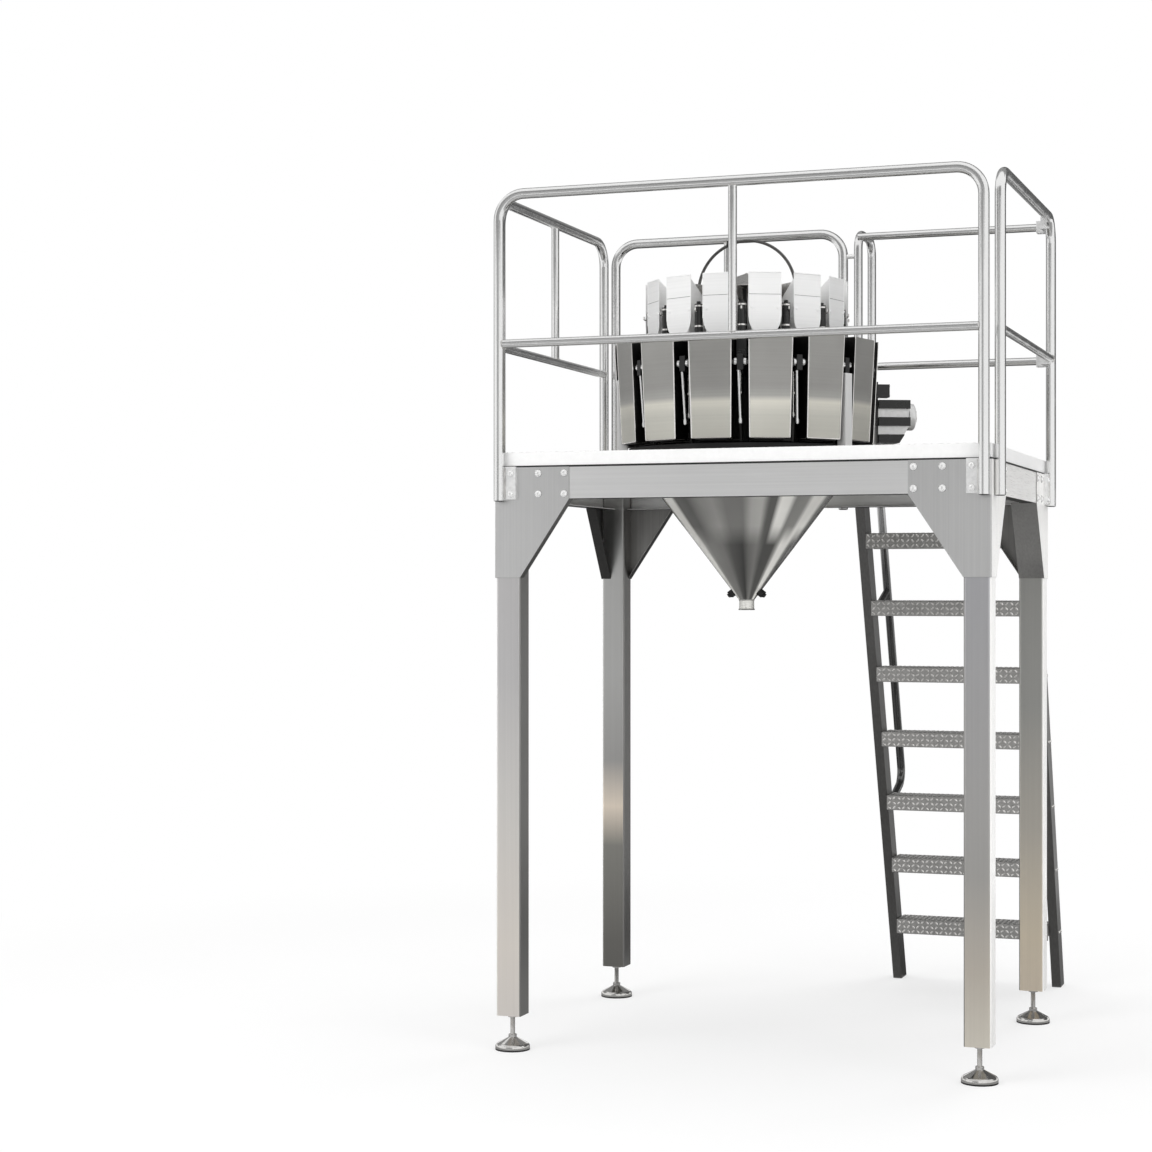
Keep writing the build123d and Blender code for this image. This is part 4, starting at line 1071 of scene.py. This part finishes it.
def pan_dimples():
    """Rows of raised dimples on the floor of each feeder pan."""
    bm = bmesh.new()
    floor = pan_low.z + PAN_SHEET
    length = PAN_OUTER - PAN_INNER
    for k, i, j in product(range(HEADS), range(DIMPLE_ROWS), range(DIMPLE_COLUMNS)):
        reach = PAN_INNER + length * (i + DIMPLE_START) / (DIMPLE_ROWS + DIMPLE_SPARE)
        half = DIMPLE_HALF + DIMPLE_SPREAD * i / DIMPLE_ROWS
        x = half * (2 * j / (DIMPLE_COLUMNS - 1) - 1)
        lathe(bm, head_place(k) @ at(x, -reach, floor), DIMPLE, 10)
    piece("pan_dimples", bm, pan_steel)


def cone_ribs():
    """Raised ribs that fan down the top cone, and a cap bolt at its tip."""
    bm = bmesh.new()
    radius = (cone_high.x - cone_low.x) / 2
    base = cone_low.z + CONE_RIM
    rise = cone_high.z - base
    for k in range(2 * HEADS):
        ends = [on_head(k / 2, 0, radius * out, base + rise * up) for out, up in RIB_ENDS]
        tube(bm, ends, RIB_RADIUS, 6)
    bolt(bm, at(axis.x, axis.y, cone_high.z - CONE_BOLT_SINK), SMALL_BOLT_SCALE)
    piece("cone_ribs", bm, pan_steel)


def column_bolts():
    """Bolts through the feet of the weigher's columns."""
    bm = bmesh.new()
    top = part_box("weigher_columns")[0].z + COLUMN_FOOT
    for gap, reach, s in product(COLUMN_GAPS, COLUMN_BOLT_REACHES, (-1, 1)):
        place = head_place(gap) @ at(s * COLUMN_BOLT_SIDE, -reach, top)
        bolt(bm, place, SMALL_BOLT_SCALE)
    piece("column_bolts", bm, fitting_steel)


def flange_bolts():
    """Ring of bolts through the chute flange into the deck."""
    bm = bmesh.new()
    reach = flange_radius - FLANGE_BOLT_INSET
    for k in range(FLANGE_BOLTS):
        place = Matrix.Translation(axis) @ Matrix.Rotation(2 * pi * k / FLANGE_BOLTS, 4, "Z")
        bolt(bm, place @ at(0, -reach, chute_high.z), FLANGE_BOLT_SCALE, 12)
    piece("flange_bolts", bm, fitting_steel)


def chute_trim():
    """Rolled lip at the outlet, a band at the neck and the lengthwise weld of the chute."""
    bm = bmesh.new()
    for z, radius in ((chute_low.z + SPOUT_LIP, SPOUT_LIP), (neck_z, SPOUT_BAND)):
        ring(bm, at(axis.x, axis.y, z), SPOUT_RADIUS, radius, 48)
    seam = [axis + Vector((0, SPOUT_RADIUS, neck_z)), axis + Vector((0, CHUTE_RADIUS, deck_top))]
    tube(bm, seam, CHUTE_SEAM_RADIUS, 6)
    piece("chute_trim", bm, fitting_steel)


def prism(bm, place, outline, low, high):
    """Outline on the xy plane of a matrix, made solid between two heights."""
    rings = [[bm.verts.new(place @ Vector((x, y, z))) for x, y in outline] for z in (low, high)]
    bm.faces.new(rings[0])
    bm.faces.new(rings[1])
    skin(bm, *rings)


# Lever of a toggle clamp: along the clamp, across it, and out from the chute
CLAMP_LEVER = ((-0.018, 0, 0.020), (0.006, 0, 0.024), (0.024, 0, 0.016))


def spout_clamps():
    """Dark toggle clamp on each side of the chute above its spout."""
    bm = bmesh.new()
    a, b, c = CLAMP_HALF_LENGTH, CLAMP_HALF_WIDTH, CLAMP_CORNER
    body = [(-a, -b + c), (-a + c, -b), (a - c, -b), (a, -b + c),
            (a, b - c), (a - c, b), (-a + c, b), (-a, b - c)]
    top = [(x * CLAMP_TOP_SHARE, y * CLAMP_TOP_SHARE) for x, y in body]
    out, up = CLAMP_SLOPE
    for side in (-1, 1):
        spot = axis + Vector((side * CLAMP_OUT, 0, chute_low.z + CLAMP_RISE))
        place = facing(spot, (side * out, 0, up))
        prism(bm, place, body, -CLAMP_SINK, CLAMP_BODY)
        prism(bm, place, top, CLAMP_BODY, CLAMP_TOP)
        tube(bm, [place @ Vector(p) for p in CLAMP_LEVER], CLAMP_LEVER_RADIUS, 8)
    piece("spout_clamps", bm, rubber)


def stem_threads():
    """Thread on the stem of each foot and a rounded collar where it meets the foot."""
    bm = bmesh.new()
    low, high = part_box("levelling_feet")
    for x in (low.x + FOOT_RADIUS, high.x - FOOT_RADIUS):
        for y in (low.y + FOOT_RADIUS, high.y - FOOT_RADIUS):
            for i in range(THREADS):
                place = at(x, y, THREAD_LOW + THREAD_PITCH * i)
                ring(bm, place, THREAD_RADIUS, THREAD_BEAD, 20, 5)
            collar = at(x, y, STEM_COLLAR_LEVEL)
            ring(bm, collar, STEM_COLLAR_RADIUS, STEM_COLLAR_BEAD, 32, 8)
    piece("stem_threads", bm, foot_steel)


def stair_bolts():
    """Two bolts through the stringers at the ends of each step."""
    bm = bmesh.new()
    left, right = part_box("stair_stringer_left")[0].x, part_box("stair_stringer_right")[1].x
    for low, high in tread_boxes():
        centre = (low + high) / 2
        for x, way in ((left, TO_LEFT), (right, TO_RIGHT)):
            for y in (-STEP_BOLT_SIDE, STEP_BOLT_SIDE):
                bolt(bm, facing((x, centre.y + y, centre.z), way), STEP_BOLT_SCALE)
    piece("stair_bolts", bm, fitting_steel)


# Radius and height of the hub on the power unit's cover
HUB = [(0.022, 0), (0.022, 0.004), (0.016, 0.006), (0.016, 0.010), (0.008, 0.012), (0, 0.012)]


def unit_face(reach):
    """Matrix across the power unit that points out from the axis, with y up."""
    out = at(0, -reach, 0) @ Matrix.Rotation(pi / 2, 4, "X")
    return head_place(UNIT_GAP) @ out


def unit_trim():
    """Screws and a hub on the power unit's end cover, and screws on its junction box."""
    bm = bmesh.new()
    cover = unit_face(UNIT_END_REACH) @ at(0, unit_foot + UNIT_HEIGHT - UNIT_COVER_DROP, 0)
    for k in range(UNIT_SCREWS):
        turn = 2 * pi * (k + 0.5) / UNIT_SCREWS
        spot = at(UNIT_SCREW_RADIUS * cos(turn), UNIT_SCREW_RADIUS * sin(turn), 0)
        bolt(bm, cover @ spot, SCREW_SCALE, 12)
    lathe(bm, cover, HUB, 24)
    for s, rise in product((-1, 1), JUNCTION_SCREW_RISES):
        place = unit_face(JUNCTION_REACH) @ at(s * JUNCTION_SCREW_SIDE, unit_foot + rise, 0)
        bolt(bm, place, SMALL_SCREW_SCALE, 12)
    piece("unit_trim", bm, fitting_steel)


def build_pieces():
    """Small pieces that ride on the object."""
    for build in (knee_bolts, bracket_bolts, guard_welds, deck_seam, deck_pattern, tread_pattern,
                  panel_hems, hanger_collars, arm_pins, arm_rods, rod_springs, feed_trim,
                  actuator_trim, pan_dimples, cone_ribs, column_bolts, flange_bolts, chute_trim,
                  spout_clamps, stem_threads, stair_bolts, unit_trim):
        build()


# Studio

def background_share(tree):
    """One for camera, mirror and glass rays, nought for the rays that only light the object."""
    path = node(tree, "LightPath")
    share = path.outputs["Is Camera Ray"]
    for name in ("Is Glossy Ray", "Is Transmission Ray"):
        most = node(tree, "Math")
        most.operation = "MAXIMUM"
        tree.links.new(share, most.inputs[0])
        tree.links.new(path.outputs[name], most.inputs[1])
        share = most.outputs["Value"]
    return share


def sky():
    """White surroundings that light the object softly."""
    world = bpy.data.worlds.new("studio")
    bpy.context.scene.world = world
    world.use_nodes = True
    tree = world.node_tree
    tree.nodes.clear()
    soft = node(tree, "Background", Color=WHITE, Strength=SKY_LEVEL)
    seen = node(tree, "Background", Color=WHITE, Strength=1.0)
    mix = node(tree, "MixShader", {"Fac": background_share(tree)})
    tree.links.new(soft.outputs["Background"], mix.inputs[1])
    tree.links.new(seen.outputs["Background"], mix.inputs[2])
    node(tree, "OutputWorld", {"Surface": mix.outputs["Shader"]})


def studio_plane(name, width, depth, place, material):
    """Flat stage piece on the xy plane of a matrix."""
    mesh = bpy.data.meshes.new(name)
    w, d = width / 2, depth / 2
    mesh.from_pydata([(-w, -d, 0), (w, -d, 0), (w, d, 0), (-w, d, 0)], [], [(0, 1, 2, 3)])
    mesh.materials.append(material)
    thing = add(name, mesh)
    thing.matrix_world = place
    return thing


def floor_finish():
    """Pale floor that holds the shadow near the object and turns white further out."""
    material, tree, shader = blank("floor")
    tone = (FLOOR_TONE, FLOOR_TONE, FLOOR_TONE, 1.0)
    fill(shader, {"Base Color": tone, "Roughness": 0.9, "Specular IOR Level": 0.0})
    reach = node(tree, "VectorMath")
    reach.operation = "LENGTH"
    tree.links.new(own_place(tree), reach.inputs[0])
    far = node(tree, "MapRange", {"Value": reach.outputs["Value"]},
               From_Min=FLOOR_NEAR, From_Max=FLOOR_FAR, To_Min=FLOOR_LIFT)
    far.interpolation_type = "SMOOTHSTEP"
    share = node(tree, "Math")
    share.operation = "MULTIPLY"
    tree.links.new(far.outputs["Result"], share.inputs[0])
    tree.links.new(background_share(tree), share.inputs[1])
    glow = node(tree, "Emission", Color=WHITE, Strength=1.0)
    mix = node(tree, "MixShader", {"Fac": share.outputs["Value"]})
    tree.links.new(shader.outputs["BSDF"], mix.inputs[1])
    tree.links.new(glow.outputs["Emission"], mix.inputs[2])
    tree.links.new(mix.outputs["Shader"], tree.nodes["Material Output"].inputs["Surface"])
    return material


def card_finish(name, tone):
    """Card of one even grey with a faint weave."""
    material, tree, shader = blank(name)
    weave = ramp(tree, noise(tree, (3, 3, 3)), [(0.3, tone * 0.94), (0.7, tone * 1.06)])
    tree.links.new(weave, shader.inputs["Emission Color"])
    fill(shader, {"Emission Strength": 1.0, "Base Color": BLACK, "Specular IOR Level": 0.0})
    return material


def flag(name, centre, way, width, height, tone):
    """Grey studio card, facing one way, that only mirrors see."""
    name = "flag_" + name
    card = studio_plane(name, width, height, facing(centre, way), card_finish(name, tone))
    card.visible_camera = False
    card.visible_diffuse = False
    card.visible_shadow = False
    card.visible_transmission = False


def area(name, place, target, size, power):
    """Soft square lamp that mirrors don't see."""
    data = bpy.data.lights.new(name, "AREA")
    data.size = size
    data.energy = power
    lamp = add(name, data)
    lamp.location = place
    lamp.rotation_euler = (Vector(target) - Vector(place)).to_track_quat("-Z", "Y").to_euler()
    lamp.visible_glossy = False


def cards():
    """Grey cards round the object; each has a centre, the way it faces, width, height and tone."""
    flag("floor", (0, middle_y, 0.004), UP, 9.0, 9.0, 0.34)
    flag("near", (-0.4, -2.2, 0.006), UP, 4.4, 2.1, 0.56)
    flag("behind", (-2.4, 8.6, 0.006), UP, 6.4, 15.0, 0.06)
    flag("inner", (0.45, 5.5, 1.15), TO_FRONT, 3.0, 2.2, 0.16)
    flag("front", (-1.3, -6.8, 2.4), TO_REAR, 4.6, 4.4, 0.43)
    flag("over", (-1.0, -3.2, 4.33), TO_REAR, 6.0, 1.75, 0.30)
    flag("high", (0, 3.4, 9.8), DOWN, 14.0, 4.2, 0.30)
    flag("rear_left", (-3.5, 5.2, 5.7), TO_FRONT, 7.0, 7.0, 0.28)
    flag("rear_right", (3.7, 5.2, 5.7), TO_FRONT, 7.4, 7.0, 0.12)
    flag("left", (-6.5, 2.5, 4.2), TO_RIGHT, 5.6, 4.0, 0.34)
    flag("right", (7.0, 3.4, 4.2), TO_LEFT, 3.6, 4.0, 0.12)


def lamps():
    """Soft lamps aimed at the middle; each has a place, size and power in watts."""
    middle = (0, middle_y, AIM_HEIGHT)
    area("key", (-4.5, -7.5, 6.5), middle, 5.0, 290)
    area("fill", (7.5, -5.0, 3.2), middle, 4.5, 150)
    area("top", (0, middle_y, 8.5), middle, 6.0, 210)
    area("back", (3.5, 7.0, 5.0), middle, 5.0, 190)


def studio():
    """Surroundings, floor, cards and lamps."""
    sky()
    studio_plane("floor", 2 * FLOOR_HALF, 2 * FLOOR_HALF, Matrix.Identity(4), floor_finish())
    cards()
    lamps()


def camera():
    """Level camera at eye height, a little to the right of the object's front."""
    data = bpy.data.cameras.new("camera")
    data.lens = CAMERA_LENS
    data.sensor_width = CAMERA_SENSOR
    data.shift_y = CAMERA_SHIFT
    data.clip_end = CAMERA_REACH
    thing = add("camera", data)
    thing.location = CAMERA_PLACE
    thing.rotation_euler = (pi / 2, 0, radians(CAMERA_TURN))
    bpy.context.scene.camera = thing


dress_frame()
build_pieces()
studio()
camera()
bpy.context.scene.view_settings.view_transform = "Standard"
